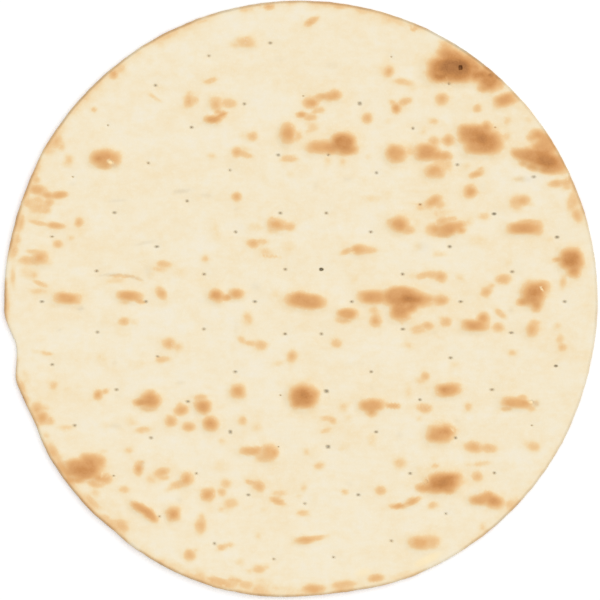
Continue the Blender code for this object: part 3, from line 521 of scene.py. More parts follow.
@dataclass(frozen=True)
class Docker:
    """The rings of pin holes that keep the sheet from puffing up as one bubble."""

    # count, first angle (degrees), ring radius, widening along X and shift along Y (metres)
    rings: Rows = (
        (6, 0.0, 26.1 * MM, 4.8 * MM, 0.0 * MM),
        (12, 15.0, 62.2 * MM, 4.1 * MM, -0.3 * MM),
        (18, 0.0, 97.2 * MM, 3.1 * MM, 0.5 * MM),
        (22, 8.18, 131.2 * MM, 1.8 * MM, 1.7 * MM),
        (26, 0.0, 166.0 * MM, 0.6 * MM, 1.4 * MM),
    )
    middle: Pair = (1.7 * MM, -1.5 * MM)
    skew: float = math.radians(0.9)            # the pins crowd a little towards the two diagonals
    half_length: float = 1.55 * MM             # half of a hole's opening along X
    half_height: float = 0.95 * MM             # and along Y
    closed: Pair = (21.0 * MM, 164.0 * MM)     # the one place where the sheet has closed
    near: float = 5.0 * MM                     # how far from a listed place a pin may be to be meant by it
    strays: Rows = PIN_STRAYS
    odd: Rows = PIN_SIZES

    def places(self) -> Array:
        """The middle of every hole.

        Returns:
            One row (x, y) for each hole: each ring is a circle, widened by the cosine of twice the angle. The
            strays are moved, and the closed one is left out.
        """
        rows = []
        for count, first, ring, widening, up in self.rings:
            angle = math.radians(first) + TAU * np.arange(count) / count
            angle = angle + self.skew * np.sin(2.0 * angle)
            radius = ring + widening * np.cos(2.0 * angle) + up * np.sin(angle)
            rows.append(polar(radius, angle) + self.middle)
        places = np.concatenate(rows)
        places = places[np.hypot(*(places - self.closed).T) > self.near]
        shifts = np.zeros_like(places)
        for x, y, side, up in self.strays:
            shifts[self.meant(places, x, y)] = side * MM, up * MM
        return places + shifts

    def meant(self, places: Array, x: float, y: float) -> Array:
        """Which hole a listed place (mm) means: those within reach of it."""
        return np.hypot(places[:, 0] - x * MM, places[:, 1] - y * MM) < self.near

    def sizes(self, places: Array) -> tuple[Array, Array]:
        """Looks up which holes stand out.

        Args:
            places: x and y of the holes, one row each.

        Returns:
            How large each hole is, and how dark its painted shade is, beside the usual one.
        """
        sizes, darks = np.ones(len(places)), np.ones(len(places))
        for x, y, size, dark in self.odd:
            here = self.meant(places, x, y)
            sizes[here], darks[here] = size, dark
        return sizes, darks


@dataclass(frozen=True)
class Relief:
    """Heights of the sheet's two skins."""

    outline: Outline
    patches: Sequence[Patch]
    pins: Array
    thick_middle: float = 3.0 * MM
    thick_rim: float = 2.2 * MM
    thin_power: float = 2.0                    # how late the sheet thins towards its rim
    rest_radius: float = 104.0 * MM            # the underside is flat inside this radius
    lift_mean: float = 1.3 * MM
    lift_lean: float = 1.0 * MM                # how much more the rim lifts on one side
    lift_lean_at: float = math.radians(222.0)
    lift_waves: float = 3.0                    # how often the rim goes up and down in a turn
    lift_wave: float = 0.5 * MM
    lift_wave_at: float = math.radians(55.0)
    lift_power: float = 1.5                    # how late the lift starts
    pillow: float = 0.45 * MM                  # how far a docker pin holds the sheet down
    pillow_reach: float = 4.0 * MM
    pillow_end: float = 14.0 * MM              # where a pin's hold has faded to nothing
    pillow_calm: float = 0.6                   # how much of the swell and the bumps it takes away
    blister_skirt: float = 0.62                # half of a blister's foot, as a part of its patch's size
    blister_foot: float = 2.0 * MM             # and what is added to that
    blister_margin: float = 8.0 * MM           # how far outside its patch a blister can still stand
    blister_power: float = 1.4
    blister_edge: float = 9.0 * MM             # a blister has its full height this far inside the outline
    swell_height: float = 0.16 * MM
    bump_height: float = 0.07 * MM
    hollow_depth: float = 0.22 * MM            # of the underside
    hollow_gain: float = 1.6                   # how sharply its hollows part from its contact spots
    swell: SoftNoise = SoftNoise(seed=11, cell=14.0 * MM, stretch=1.4, layers=2)
    bumps: SoftNoise = SoftNoise(seed=23, cell=4.6 * MM, stretch=1.5, layers=2)
    under_dents: SoftNoise = SoftNoise(seed=41, cell=7.0 * MM, stretch=1.3, layers=3)

    def lift(self, x: Array, y: Array) -> Array:
        """The resting face: flat in the middle, then the rim's lift times a power of a smooth step outwards.

        The rim's lift is a mean, plus a cosine of the direction, plus a smaller cosine of a multiple of it.

        Args:
            x: places along X, in metres.
            y: places along Y.

        Returns:
            The height at each place, in metres.
        """
        angle = np.arctan2(y, x)
        lift = self.lift_mean + self.lift_lean * np.cos(angle - self.lift_lean_at)
        lift = lift + self.lift_wave * np.cos(self.lift_waves * angle - self.lift_wave_at)
        part = (np.hypot(x, y) - self.rest_radius) / (self.outline.radius - self.rest_radius)
        return lift * smooth_step(part) ** self.lift_power

    def blisters(self, x: Array, y: Array) -> Array:
        """Height that the blisters add: a power of 1 - reach² is each one's dome, and the highest one counts.

        Args:
            x: places along X, in metres.
            y: places along Y.

        Returns:
            The height to add at each place, in metres.
        """
        best = np.zeros(np.shape(x))
        for patch in self.patches:
            half_length = self.blister_skirt * patch.length * MM + self.blister_foot
            half_width = self.blister_skirt * patch.width * MM + self.blister_foot
            here = patch.near(x, y, self.blister_margin)
            reach = patch.reach(x[here], y[here], half_length, half_width)
            dome = patch.height * np.clip(1.0 - reach * reach, 0.0, 1.0) ** self.blister_power
            best[here] = np.maximum(best[here], dome)
        return best

    def pinch(self, x: Array, y: Array) -> Array:
        """How strongly the docker pins hold the sheet down: a Gaussian round each hole, capped at 1.

        Args:
            x: places along X, in metres.
            y: places along Y.

        Returns:
            Numbers from 0 to 1, one for each place.
        """
        total = np.zeros(np.shape(x))
        for pin_x, pin_y in self.pins:
            here = (np.abs(x - pin_x) < self.pillow_end) & (np.abs(y - pin_y) < self.pillow_end)
            away = (x[here] - pin_x) ** 2 + (y[here] - pin_y) ** 2
            total[here] += np.exp(-away / (2.0 * self.pillow_reach ** 2))
        return np.minimum(1.0, total)

    def under(self, x: Array, y: Array) -> Array:
        """Height of the underside: its lift, and shallow hollows that leave the contact spots at the bottom."""
        hollow = self.hollow_depth * smooth_step(0.5 + self.hollow_gain * self.under_dents.at(x, y))
        return self.lift(x, y) + hollow

    def top(self, x: Array, y: Array) -> Array:
        """The shown side: the sum of lift, thickness, pin pinch, blisters, a slow swell and small bumps.

        Args:
            x: places along X, in metres.
            y: places along Y.

        Returns:
            The height at each place, in metres.
        """
        thinning = smooth_step(np.hypot(x, y) / self.outline.radius) ** self.thin_power
        thick = self.thick_middle + (self.thick_rim - self.thick_middle) * thinning
        edge = smooth_step(self.outline.inset(x, y) / self.blister_edge)
        pinch = self.pinch(x, y)
        detail = self.swell_height * self.swell.at(x, y) + self.bump_height * self.bumps.at(x, y)
        sheet = self.lift(x, y) + thick - self.pillow * pinch
        return sheet + self.blisters(x, y) * edge + detail * (1.0 - self.pillow_calm * pinch)


@dataclass(frozen=True)
class RimTone:
    """How browned the rim is in one direction."""

    angle: float              # degrees
    level: float
    width: float              # millimetres
    line: float               # strength of the painted shade along the very edge


@dataclass(frozen=True)
class Browning:
    """Where the crust is browned, on both sides and round the rim."""

    outline: Outline
    patches: Sequence[Patch]
    wrinkle_shades: Sequence[Patch]
    flecks: Sequence[Patch]
    patch_warp: float = 0.7 * MM               # how far a slow noise moves the edges of the patches,
    wrinkle_shade_warp: float = 0.9 * MM              # of the painted wrinkle shade
    fleck_warp: float = 0.4 * MM               # and of the flecks
    warp_up: float = 0.7                       # the same along Y, as a part of that along X
    margin: float = 9.0 * MM                   # how far outside its size a patch still shows
    softness: float = 7.0 * MM                 # width over which a large patch fades
    narrow_fade: float = 1.7                   # the same for a narrow one, as a part of its half width
    edge_at: float = 0.92                      # where a patch is at half its level, as a part of its size
    core_gradient: float = 0.14                # how much a patch has lost at its edge, besides its fading
    stain: float = 0.15                        # level of the stain round a patch, as a part of the patch's
    stain_at: float = 1.35                     # how far out the stain reaches, as a part of the patch's size
    stain_fade: float = 1.8                    # how much more slowly it fades than the patch
    join: float = 5.0                          # how sharply the strongest of several patches counts
    mottle_level: float = 0.035
    mottle_gain: float = 1.4                   # how sharply the mottle parts into light and dark
    rim_power: float = 1.5                     # shape of the rim's fading
    rim_uneven: float = 0.5                    # how much the rim's width changes,
    rim_patchy: float = 0.35                   # its level
    rim_shade_patchy: float = 0.3                   # and the painted shade along its edge
    rim: tuple[RimTone, ...] = tuple(RimTone(*row) for row in RIM_TONES)
    outline_warp: SoftNoise = SoftNoise(seed=5, cell=8.0 * MM, layers=2)
    outline_warp_too: SoftNoise = SoftNoise(seed=6, cell=8.0 * MM, layers=2)
    rim_change: SoftNoise = SoftNoise(seed=7, cell=8.0 * MM, layers=2)
    mottle: SoftNoise = SoftNoise(seed=8, cell=9.0 * MM, stretch=1.6, layers=3)
    under_spots: SoftNoise = SoftNoise(seed=51, cell=12.0 * MM, stretch=1.4, layers=2)
    under_freckles: SoftNoise = SoftNoise(seed=61, cell=6.5 * MM, stretch=1.2)
    under_warp: float = 6.0 * MM
    under_turn: Pair = (0.85, 0.53)            # about the cosine and sine of 32 degrees
    under_least: float = 0.07                  # toast level of the bare underside
    under_rim: float = 0.5                     # the rim's browning below, as a part of that above
    # Strength of the underside's marks, the noise level where they start and how much more makes them full
    contact: Triple = (0.50, 0.14, 0.50)
    freckle: Triple = (0.30, 0.36, 0.45)

    def spread(self, patches: Sequence[Patch], x: Array, y: Array, warp: float) -> Array:
        """Lays soft-edged patches: each falls off over a few millimetres about its edge, and they join softly.

        Levels join as the fifth root of the sum of their fifth powers, which is close to the strongest one.

        Args:
            patches: the patches to lay.
            x: places along X.
            y: places along Y.
            warp: how far a slow noise moves the places first, in metres, so that no outline is a plain ellipse.

        Returns:
            The level at each place.
        """
        moved_x = x + warp * self.outline_warp.at(x, y)
        moved_y = y + self.warp_up * warp * self.outline_warp_too.at(x, y)
        total = np.zeros(np.shape(x))
        for patch in patches:
            half_length, half_width = 0.5 * patch.length * MM, 0.5 * patch.width * MM
            here = patch.near(moved_x, moved_y, self.margin)
            reach = patch.reach(moved_x[here], moved_y[here], half_length, half_width)
            size = math.sqrt(half_length * half_width)
            fade = min(self.softness, self.narrow_fade * half_width) * patch.soft / size
            inside = smooth_step(0.5 + (self.edge_at - reach) / fade) * (1.0 - self.core_gradient * reach)
            stain = self.stain * smooth_step(0.5 + (self.stain_at - reach) / (self.stain_fade * fade))
            total[here] += (patch.level * np.maximum(inside, stain)) ** self.join
        return total ** (1.0 / self.join)

    def round_rim(self, x: Array, y: Array, values: Sequence[float]) -> Array:
        """One of the rim's tones at each place: straight lines between the values in the listed directions."""
        angle = np.degrees(np.arctan2(y, x)) % 360.0
        return np.interp(angle, [tone.angle for tone in self.rim], values, period=360.0)

    def rim_level(self, x: Array, y: Array) -> Array:
        """Browning of the rim: its level in each direction, times e to minus a power of depth over width.

        Args:
            x: places along X, in metres.
            y: places along Y.

        Returns:
            The toast level that the rim gives each place.
        """
        level, width = [tone.level for tone in self.rim], self.round_rim(x, y, [tone.width for tone in self.rim]) * MM
        change = self.rim_change.at(x, y)
        away = np.maximum(0.0, self.outline.inset(x, y)) / (width * (1.0 + self.rim_uneven * change))
        return self.round_rim(x, y, level) * (1.0 + self.rim_patchy * change) * np.exp(-away ** self.rim_power)

    def rim_edge_shade(self, x: Array, y: Array) -> Array:
        """Strength of the painted shade along the very edge, in the direction of each place."""
        line = self.round_rim(x, y, [tone.line for tone in self.rim])
        return line * (1.0 + self.rim_shade_patchy * self.rim_change.at(x, y))

    def shown(self, x: Array, y: Array) -> Array:
        """Toast level of the shown side: the patches, the rim and a faint slow mottle."""
        faint = self.mottle_level * smooth_step(0.5 + self.mottle_gain * self.mottle.at(x, y))
        return np.maximum(self.spread(self.patches, x, y, self.patch_warp), self.rim_level(x, y)) + faint

    def under(self, x: Array, y: Array) -> Array:
        """Toast level of the underside: contact spots where the sheet lay on the oven floor, and small freckles.

        The places are turned and moved by a slow noise first, which hides the noise's square lattice.

        Args:
            x: places along X, in metres.
            y: places along Y.

        Returns:
            The level at each place.
        """
        cosine, sine = self.under_turn
        moved_x = cosine * x + sine * y + self.under_warp * self.outline_warp.at(x, y)
        moved_y = cosine * y - sine * x + self.under_warp * self.outline_warp_too.at(x, y)
        marks = []
        for noise, (level, start, more) in ((self.under_spots, self.contact), (self.under_freckles, self.freckle)):
            marks.append(level * smooth_step((noise.at(moved_x, moved_y) - start) / more))
        return self.under_least + np.maximum(*marks) + self.under_rim * self.rim_level(x, y)


# --------------------------------------------------------------------------------------------------------------
# The skin: one closed mesh, gathered part by part


@dataclass
class Points:
    """Vertices of a part of the skin, one row each."""

    place: Array              # x, y, z
    plan: Array               # where the vertex lies when its side of the skin is unrolled flat, x and y
    side: Array               # 1 on the shown side and 0 below
    hole_shade: Array               # painted shade, 1 deep in the usual hole
    pale: Array               # 1 where bare crumb shows

    @classmethod
    def on_skin(cls, place: Array, side: float) -> "Points":
        """Vertices of an open stretch of skin, whose plan is their own x and y."""
        count = len(place)
        return cls(place, place[:, :2].copy(), np.full(count, side), np.zeros(count), np.zeros(count))

    @classmethod
    def joined(cls, parts: Sequence["Points"]) -> "Points":
        """All vertices of several parts in one table."""
        return cls(*(np.concatenate([getattr(part, column.name) for part in parts]) for column in fields(cls)))

    def chosen(self, used: Array) -> "Points":
        """Only the vertices that are marked as used."""
        return Points(*(getattr(self, column.name)[used] for column in fields(self)))


@dataclass
class Skin:
    """Gathers vertices and faces, and turns them into one mesh."""

    parts: list[Points] = field(default_factory=list)
    faces: list[tuple[Array, Chart]] = field(default_factory=list)
    count: int = 0

    def add(self, points: Points) -> Array:
        """Adds vertices.

        Args:
            points: the vertices.

        Returns:
            Their numbers.
        """
        first, self.count = self.count, self.count + len(points.place)
        self.parts.append(points)
        return np.arange(first, self.count)

    def lay(self, corners: Array, chart: Chart) -> None:
        """Adds faces, whose corners run counter-clockwise seen from outside, one row of vertex numbers each."""
        self.faces.append((corners.reshape(-1, corners.shape[-1]), chart))

    def strip(self, first: Array, second: Array, chart: Chart) -> None:
        """Joins two closed rings of vertices (the last axis) with quads: along the first, then back on the second."""
        after, after_second = np.roll(first, -1, axis=-1), np.roll(second, -1, axis=-1)
        self.lay(np.stack([first, after, after_second, second], axis=-1), chart)

    def halving_strip(self, first: Array, second: Array, chart: Chart) -> None:
        """Joins closed rings to ones with half as many vertices, with three triangles for each of the latter.

        Args:
            first: vertex numbers of the full rings, on the last axis.
            second: vertex numbers of the rings with half as many.
            chart: the chart that the faces unroll onto.
        """
        start, between, end = first[..., 0::2], first[..., 1::2], np.roll(first, -2, axis=-1)[..., 0::2]
        after = np.roll(second, -1, axis=-1)
        for corners in ((start, between, second), (between, after, second), (between, end, after)):
            self.lay(np.stack(corners, axis=-1), chart)

    def fan(self, ring: Array, middle: Array, chart: Chart) -> None:
        """Closes rings with triangles to a middle vertex each."""
        after = np.roll(ring, -1, axis=-1)
        self.lay(np.stack([ring, after, np.broadcast_to(middle[:, None], ring.shape)], axis=-1), chart)

    def mesh(self, name: str, charts: dict[Chart, tuple[Array, float]]) -> tuple[bpy.types.Mesh, Points]:
        """Makes the mesh, without the vertices that no face uses.

        Args:
            name: name of the mesh.
            charts: for each chart, its middle on the map and its scale, map units to a metre.

        Returns:
            The mesh, and the table of its vertices.
        """
        used = np.zeros(self.count, bool)
        for corners, _ in self.faces:
            used[corners] = True
        renumbered = np.cumsum(used) - 1
        points = Points.joined(self.parts).chosen(used)
        sizes = np.concatenate([np.full(len(corners), corners.shape[1]) for corners, _ in self.faces])
        loops = np.concatenate([renumbered[corners].ravel() for corners, _ in self.faces])
        maps = []
        for corners, chart in self.faces:
            middle, scale = charts[chart]
            flip = np.array([1.0, 1.0]) if chart is Chart.SHOWN else np.array([-1.0, 1.0])
            maps.append(middle + points.plan[renumbered[corners].ravel()] * flip * scale)
        mesh = bpy.data.meshes.new(name)
        mesh.vertices.add(len(points.place))
        mesh.vertices.foreach_set("co", points.place.ravel())
        mesh.loops.add(len(loops))
        mesh.loops.foreach_set("vertex_index", loops)
        mesh.polygons.add(len(sizes))
        mesh.polygons.foreach_set("loop_start", np.cumsum(sizes) - sizes)
        mesh.update(calc_edges=True)
        layer = mesh.uv_layers.new(name="OFBake")
        layer.uv.foreach_set("vector", np.concatenate(maps).ravel())
        mesh.polygons.foreach_set("use_smooth", np.ones(len(sizes), bool))
        mesh.validate()
        return mesh, points


@dataclass(frozen=True)
class Ringwork:
    """One ring of a hole or a crater."""

    part: float               # its size, as a part of the opening's
    drop: float               # how far it lies below the skin it belongs to, in metres
    # painted shade in a hole or a burst spot
    hole_shade: float
    plan: float               # its size on the plan, as a part of the opening's
    side: float = 1.0         # 1 on the shown side and 0 below
    pale: float = 0.0


WIDEST_RING = 1.45            # the largest ring of a docker hole, as a part of its opening
WIDEST_LIP = 1.28             # the same for a burst spot
# A docker hole: a soft lip, a funnel and a narrow throat, then the skin below; the third column is painted shade
PIN_RINGS = (
    Ringwork(WIDEST_RING, 0.00 * MM, 0.00, WIDEST_RING),
    Ringwork(1.20, 0.04 * MM, 0.28, 1.20),
    Ringwork(0.95, 0.20 * MM, 0.60, 0.95),
    Ringwork(0.66, 0.50 * MM, 0.80, 0.66),
    Ringwork(0.30, 1.10 * MM, 0.90, 0.36),
    Ringwork(0.28, 0.40 * MM, 1.00, 0.60, side=0.0),
    Ringwork(0.44, 0.06 * MM, 0.60, 0.80, side=0.0),
    Ringwork(1.00, 0.00 * MM, 0.10, 1.10, side=0.0),
)


@dataclass
class BreadSheet:
    """The bread: two skins on one round grid, joined by the rim and by the docker holes."""

    outline: Outline = field(default_factory=Outline)
    docker: Docker = field(default_factory=Docker)
    craters: Sequence[Crater] = CRATERS
    cells: int = 240                           # cells across the shown side; the underside has half as many
    rim_rings: int = 5
    warp_reach: float = 7.0                    # cells over which the grid bends towards a hole
    grid_turn: float = math.radians(9.0)       # turns the grid's four creases away from the holes
    shown_map: float = 0.362                   # radius of the shown side on the map
    under_map: float = 0.214
    map_margin: float = 0.004
    map_spare: float = 0.6                     # how far the unrolled rim passes the outline, in tucks
    ring_room: float = 0.85                    # how much of its block the widest ring may fill
    pin_uneven: float = 0.08                   # how far a hole's rings stray from an ellipse,
    lip_uneven: float = 0.16                   # and a burst spot's
    flare_at: float = 2.0 * MM                 # where the noise for that is read, from the middle
    flare: SoftNoise = SoftNoise(seed=71, cell=3.1 * MM, layers=2)
    pin_change: SoftNoise = SoftNoise(seed=81, cell=5.0 * MM)
    size_change: float = 0.14                  # how much the usual holes differ in shape
    dark_change: float = 0.25                  # and in the darkness of their painted shade
    rim_rough: SoftNoise = SoftNoise(seed=73, cell=3.4 * MM, layers=3)
    rim_uneven: float = 0.14                   # how much the rim's roundness changes
    rim_drift: Pair = (9.0 * MM, 5.0 * MM)     # how far its roughness slides from top to foot
    inset_limit: float = 12.0                  # millimetres inside the outline, as far as the finish needs to know

    def __post_init__(self) -> None:
        """Works out where the pins are, and the form and the browning that follow from them."""
        rows = TOAST_UPPER_LEFT + TOAST_UPPER_RIGHT + TOAST_LOWER_LEFT + TOAST_LOWER_RIGHT
        patches = [Patch(*row) for row in rows]
        self.pins = self.docker.places()
        self.relief = Relief(self.outline, patches, self.pins)
        self.browning = Browning(
            self.outline, patches, [Patch(*row) for row in WRINKLE_SHADES], [Patch(*row) for row in FLECKS])

    # The grid

    def disc_place(self, column: Array, row: Array) -> Array:
        """Takes grid places to the sheet.

        Squares round the grid's middle become rings: the larger of |u| and |v| is the radius, and the smaller
        over the larger is the angle, an eighth of a turn at most to either side of the axis.

        Args:
            column: grid columns, 0 to cells, whole or not.
            row: grid rows.

        Returns:
            x and y of each place, in metres, on the last axis.
        """
        u, v = 2.0 * column / self.cells - 1.0, 2.0 * row / self.cells - 1.0
        wide = np.abs(u) >= np.abs(v)
        part = np.where(wide, u, v)
        safe = np.where(part == 0.0, 1.0, part)
        angle = np.where(wide, 0.25 * math.pi * v / safe, 0.5 * math.pi - 0.25 * math.pi * u / safe)
        angle = np.where(part < 0.0, angle + math.pi, angle) + self.grid_turn
        radius = np.abs(part) * (self.outline.radius_at(angle) - self.outline.tuck)
        return polar(radius, angle)

    def grid_place(self, x: Array, y: Array) -> Array:
        """Takes places of the sheet back to the grid: the reverse of disc_place.

        Args:
            x: places along X, in metres.
            y: places along Y.

        Returns:
            Grid column and row of each place, whole or not, on the last axis.
        """
        angle = np.arctan2(y, x)
        part = np.hypot(x, y) / (self.outline.radius_at(angle) - self.outline.tuck)
        angle = angle - self.grid_turn
        quarter = np.floor((angle + 0.25 * math.pi) / (0.5 * math.pi))
        off = (angle - quarter * 0.5 * math.pi) / (0.25 * math.pi)
        quarter = quarter.astype(int) % 4
        u = part * np.choose(quarter, [np.ones_like(off), -off, -np.ones_like(off), off])
        v = part * np.choose(quarter, [off, np.ones_like(off), -off, -np.ones_like(off)])
        return np.stack([u + 1.0, v + 1.0], axis=-1) * 0.5 * self.cells

    def bent_grid(self) -> tuple[Array, Array]:
        """Bends the grid so that a vertex sits at the middle of each hole and crater.

        The shift that each middle needs fades as (1 - d²)² over a few cells, and the shifts are solved together,
        so that neighbours don't disturb each other.

        Returns:
            x and y of the grid's vertices, and the grid numbers of the middles (even ones for the docker holes).
        """
        spots = [(crater.x * MM, crater.y * MM) for crater in self.craters]
        wanted = np.concatenate([self.pins, np.array(spots)])
        exact = self.grid_place(wanted[:, 0], wanted[:, 1])
        step = np.where(np.arange(len(exact)) < len(self.pins), 2.0, 1.0)[:, None]
        near = np.rint(exact / step) * step

        def hold(column: Array, row: Array) -> Array:
            """Weight of each middle's shift at each place, on the last axis."""
            away = (column[..., None] - near[:, 0]) ** 2 + (row[..., None] - near[:, 1]) ** 2
            return np.clip(1.0 - away / self.warp_reach ** 2, 0.0, 1.0) ** 2

        shifts = np.linalg.solve(hold(near[:, 0], near[:, 1]), exact - near)
        columns, rows = np.meshgrid(np.arange(self.cells + 1.0), np.arange(self.cells + 1.0), indexing="ij")
        moved = np.stack([columns, rows], axis=-1) + hold(columns, rows) @ shifts
        return self.disc_place(moved[..., 0], moved[..., 1]), near.astype(int)

    @staticmethod
    def border(numbers: Array) -> Array:
        """The outermost vertices of a square grid, counter-clockwise from its lower right corner."""
        return np.concatenate([numbers[-1, :-1], numbers[:0:-1, -1], numbers[0, :0:-1], numbers[:-1, 0]])

    @staticmethod
    def block_offsets(half: int) -> Array:
        """Steps from a vertex to the vertices round the block of cells about it.

        Args:
            half: how many cells the block reaches to each side.

        Returns:
            Columns and rows to go, counter-clockwise from the right.
        """
        side = np.arange(-half, half)
        run = np.concatenate([
            np.stack([np.full(2 * half, half), side], axis=1), np.stack([-side, np.full(2 * half, half)], axis=1),
            np.stack([np.full(2 * half, -half), -side], axis=1), np.stack([side, np.full(2 * half, -half)], axis=1),
        ])
        return np.roll(run, -half, axis=0)

    @staticmethod
    def cell_corners(numbers: Array, middles: Array, half: int) -> Array:
        """The grid's cells but for those in the blocks about the middles.

        Args:
            numbers: the grid's vertex numbers.
            middles: the grid numbers of the blocks' middles.
            half: how many cells a block reaches to each side.

        Returns:
            Four vertex numbers for each cell, counter-clockwise seen from above.
        """
        kept = np.ones((numbers.shape[0] - 1, numbers.shape[1] - 1), bool)
        for column, row in middles:
            block = kept[column - half:column + half, row - half:row + half]
            if not block.all():
                raise ValueError(f"two blocks of the grid overlap near {column}, {row}")
            block[:] = False
        corners = np.stack([numbers[:-1, :-1], numbers[1:, :-1], numbers[1:, 1:], numbers[:-1, 1:]], axis=-1)
        return corners[kept]

    @staticmethod
    def short_split(corners: Array, places: Array) -> Array:
        """Starts each four-cornered face where its first and third corner are the nearer pair.

        A renderer splits a face between those two, and a mark on the vertices looks combed along the longer split.

        Args:
            corners: four vertex numbers for each face.
            places: x and y of the vertices.

        Returns:
            The same faces, some of them starting one corner later.
        """
        spans = places[corners]
        one_way = np.linalg.norm(spans[:, 2] - spans[:, 0], axis=-1)
        other_way = np.linalg.norm(spans[:, 3] - spans[:, 1], axis=-1)
        return np.where((one_way > other_way)[:, None], np.roll(corners, -1, axis=1), corners)

    # The holes and craters

    def ring_points(self, kind: Stamp, middles: Array, away: Array, halves: Array, work: Ringwork) -> Points:
        """One ring round each middle: an uneven ellipse at its depth below the skin.

        Args:
            kind: what the rings belong to.
            middles: x and y of the middles.
            away: from each middle to the vertices of its block's border, which the rings keep inside.
            halves: half length and half height of each opening.
            work: which ring it is.

        Returns:
            The rings' vertices, one ring after the other.
        """
        reach = np.hypot(away[..., 0], away[..., 1])
        cosine, sine = away[..., 0] / reach, away[..., 1] / reach
        radius = 1.0 / np.sqrt((cosine / halves[:, :1]) ** 2 + (sine / halves[:, 1:]) ** 2)
        uneven = self.flare.at(middles[:, :1] + self.flare_at * cosine, middles[:, 1:] + self.flare_at * sine)
        is_pin = kind is Stamp.PIN_HOLE
        amount, widest = (self.pin_uneven, WIDEST_RING) if is_pin else (self.lip_uneven, WIDEST_LIP)
        radius = np.minimum(radius * (1.0 + amount * uneven), self.ring_room * reach / widest)
        x, y = middles[:, :1] + work.part * radius * cosine, middles[:, 1:] + work.part * radius * sine
        z = self.relief.top(x, y) - work.drop if work.side > 0.5 else self.relief.under(x, y) + work.drop
        plan_x, plan_y = middles[:, :1] + work.plan * radius * cosine, middles[:, 1:] + work.plan * radius * sine
        count = x.size
        return Points(
            np.column_stack([x.ravel(), y.ravel(), z.ravel()]), np.column_stack([plan_x.ravel(), plan_y.ravel()]),
            np.full(count, work.side), np.full(count, work.hole_shade), np.full(count, work.pale),
        )

    def pierce(self, skin: Skin, above: Array, below: Array, middles: Array, borders: Array) -> None:
        """Sets the docker holes in.

        Args:
            skin: what the rings are added to.
            above: vertex numbers of the border of each hole's block in the shown side, one row each.
            below: the same in the underside, half as many.
            middles: x and y of the holes.
            borders: x and y of the vertices of above.
        """
        away = borders - middles[:, None, :]
        change = self.pin_change.at(middles[:, 0], middles[:, 1])
        longer, (own, dark) = 1.0 + self.size_change * change, self.docker.sizes(middles)
        halves = np.stack([self.docker.half_length * longer, self.docker.half_height * (2.0 - longer)], axis=1)
        halves = halves * own[:, None]
        before = above
        for work in PIN_RINGS:
            points = self.ring_points(Stamp.PIN_HOLE, middles, away, halves, work)
            # Painted shade in each hole, scaled by how dark it is
            points.hole_shade *= np.repeat(dark * (1.0 + self.dark_change * change), RING)
            numbers = skin.add(points).reshape(-1, RING)
            skin.strip(before, numbers, Chart.SHOWN if work.side > 0.5 else Chart.UNDER)
            before = numbers
        skin.halving_strip(before, below, Chart.UNDER)

    def burst(self, skin: Skin, above: Array, middles: Array, borders: Array) -> None:
        """Sets the craters in: a raised lip, a wall and a closed floor.

        Args:
            skin: what the rings are added to.
            above: vertex numbers of the border of each crater's block, one row each.
            middles: x and y of the craters.
            borders: x and y of the vertices of above.
        """
        for index, crater in enumerate(self.craters):
            middle = middles[index:index + 1]
            away = (borders[index] - middle)[None]
            halves = np.array([[crater.half * MM, crater.tall * crater.half * MM]])
            depth, lip, pale, dark = crater.depth * MM, crater.lip * MM, crater.pale, crater.dark
            # The inner rings carry painted shadow in the crevice, less where crumb shows
            rings = (
                Ringwork(WIDEST_LIP, -0.3 * lip, 0.0, WIDEST_LIP),
                Ringwork(1.06, -lip, 0.25 * dark, 1.06),
                Ringwork(0.88, 0.2 * depth, 0.9 * dark, 0.88, pale=0.4 * pale),
                Ringwork(0.66, 0.85 * depth, dark * (1.0 - 0.6 * pale), 0.66, pale=pale),
                Ringwork(0.34, depth, dark * (1.0 - pale), 0.34, pale=pale),
            )
            before = above[index:index + 1]
            for work in rings:
                numbers = skin.add(self.ring_points(Stamp.PIT, middle, away, halves, work)).reshape(1, RING)
                skin.strip(before, numbers, Chart.SHOWN)
                before = numbers
            floor = self.relief.top(middle[:, 0], middle[:, 1]) - 0.95 * depth
            low = Points.on_skin(np.column_stack([middle, floor]), 1.0)
            low.hole_shade[:], low.pale[:] = dark * (1.0 - pale), pale
            skin.fan(before, skin.add(low), Chart.SHOWN)

    # The rim

    def rim(self, skin: Skin, above: Array, below: Array, top: Array, bottom: Array) -> None:
        """Rounds the rim: half an ellipse from the shown side's border to the underside's, a little uneven.

        Args:
            skin: what the rings are added to.
            above: vertex numbers of the shown side's border.
            below: vertex numbers of the underside's border, half as many.
            top: places of the vertices of above.
            bottom: heights of the underside under them.
        """
        angle = np.arctan2(top[:, 1], top[:, 0])
        flat = self.outline.radius_at(angle) - self.outline.tuck
        middle, half = 0.5 * (top[:, 2] + bottom), 0.5 * (top[:, 2] - bottom)
        arc = 0.5 * math.pi * self.outline.tuck
        drift_x, drift_y = self.rim_drift
        before = above
        for ring in range(1, self.rim_rings + 1):
            part = ring / (self.rim_rings + 1.0)
            turn = math.pi * part
            rough = self.rim_rough.at(flat * np.cos(angle) + drift_x * part, flat * np.sin(angle) + drift_y * part)
            radius = flat + self.outline.tuck * math.sin(turn) * (1.0 + self.rim_uneven * rough)
            place = np.column_stack([polar(radius, angle), middle + half * math.cos(turn)])
            points = Points.on_skin(place, 0.5 + 0.5 * math.cos(turn))
            points.plan = polar(flat + arc * 2.0 * min(part, 1.0 - part), angle)
            numbers = skin.add(points)
            skin.strip(numbers[None], before[None], Chart.SHOWN if part <= 0.5 else Chart.UNDER)
            before = numbers
        start, between, end = before[0::2], before[1::2], np.roll(before, -2)[0::2]
        after = np.roll(below, -1)
        for corners in ((start, below, between), (below, after, between), (after, end, between)):
            skin.lay(np.stack(corners, axis=-1), Chart.UNDER)

    # The whole

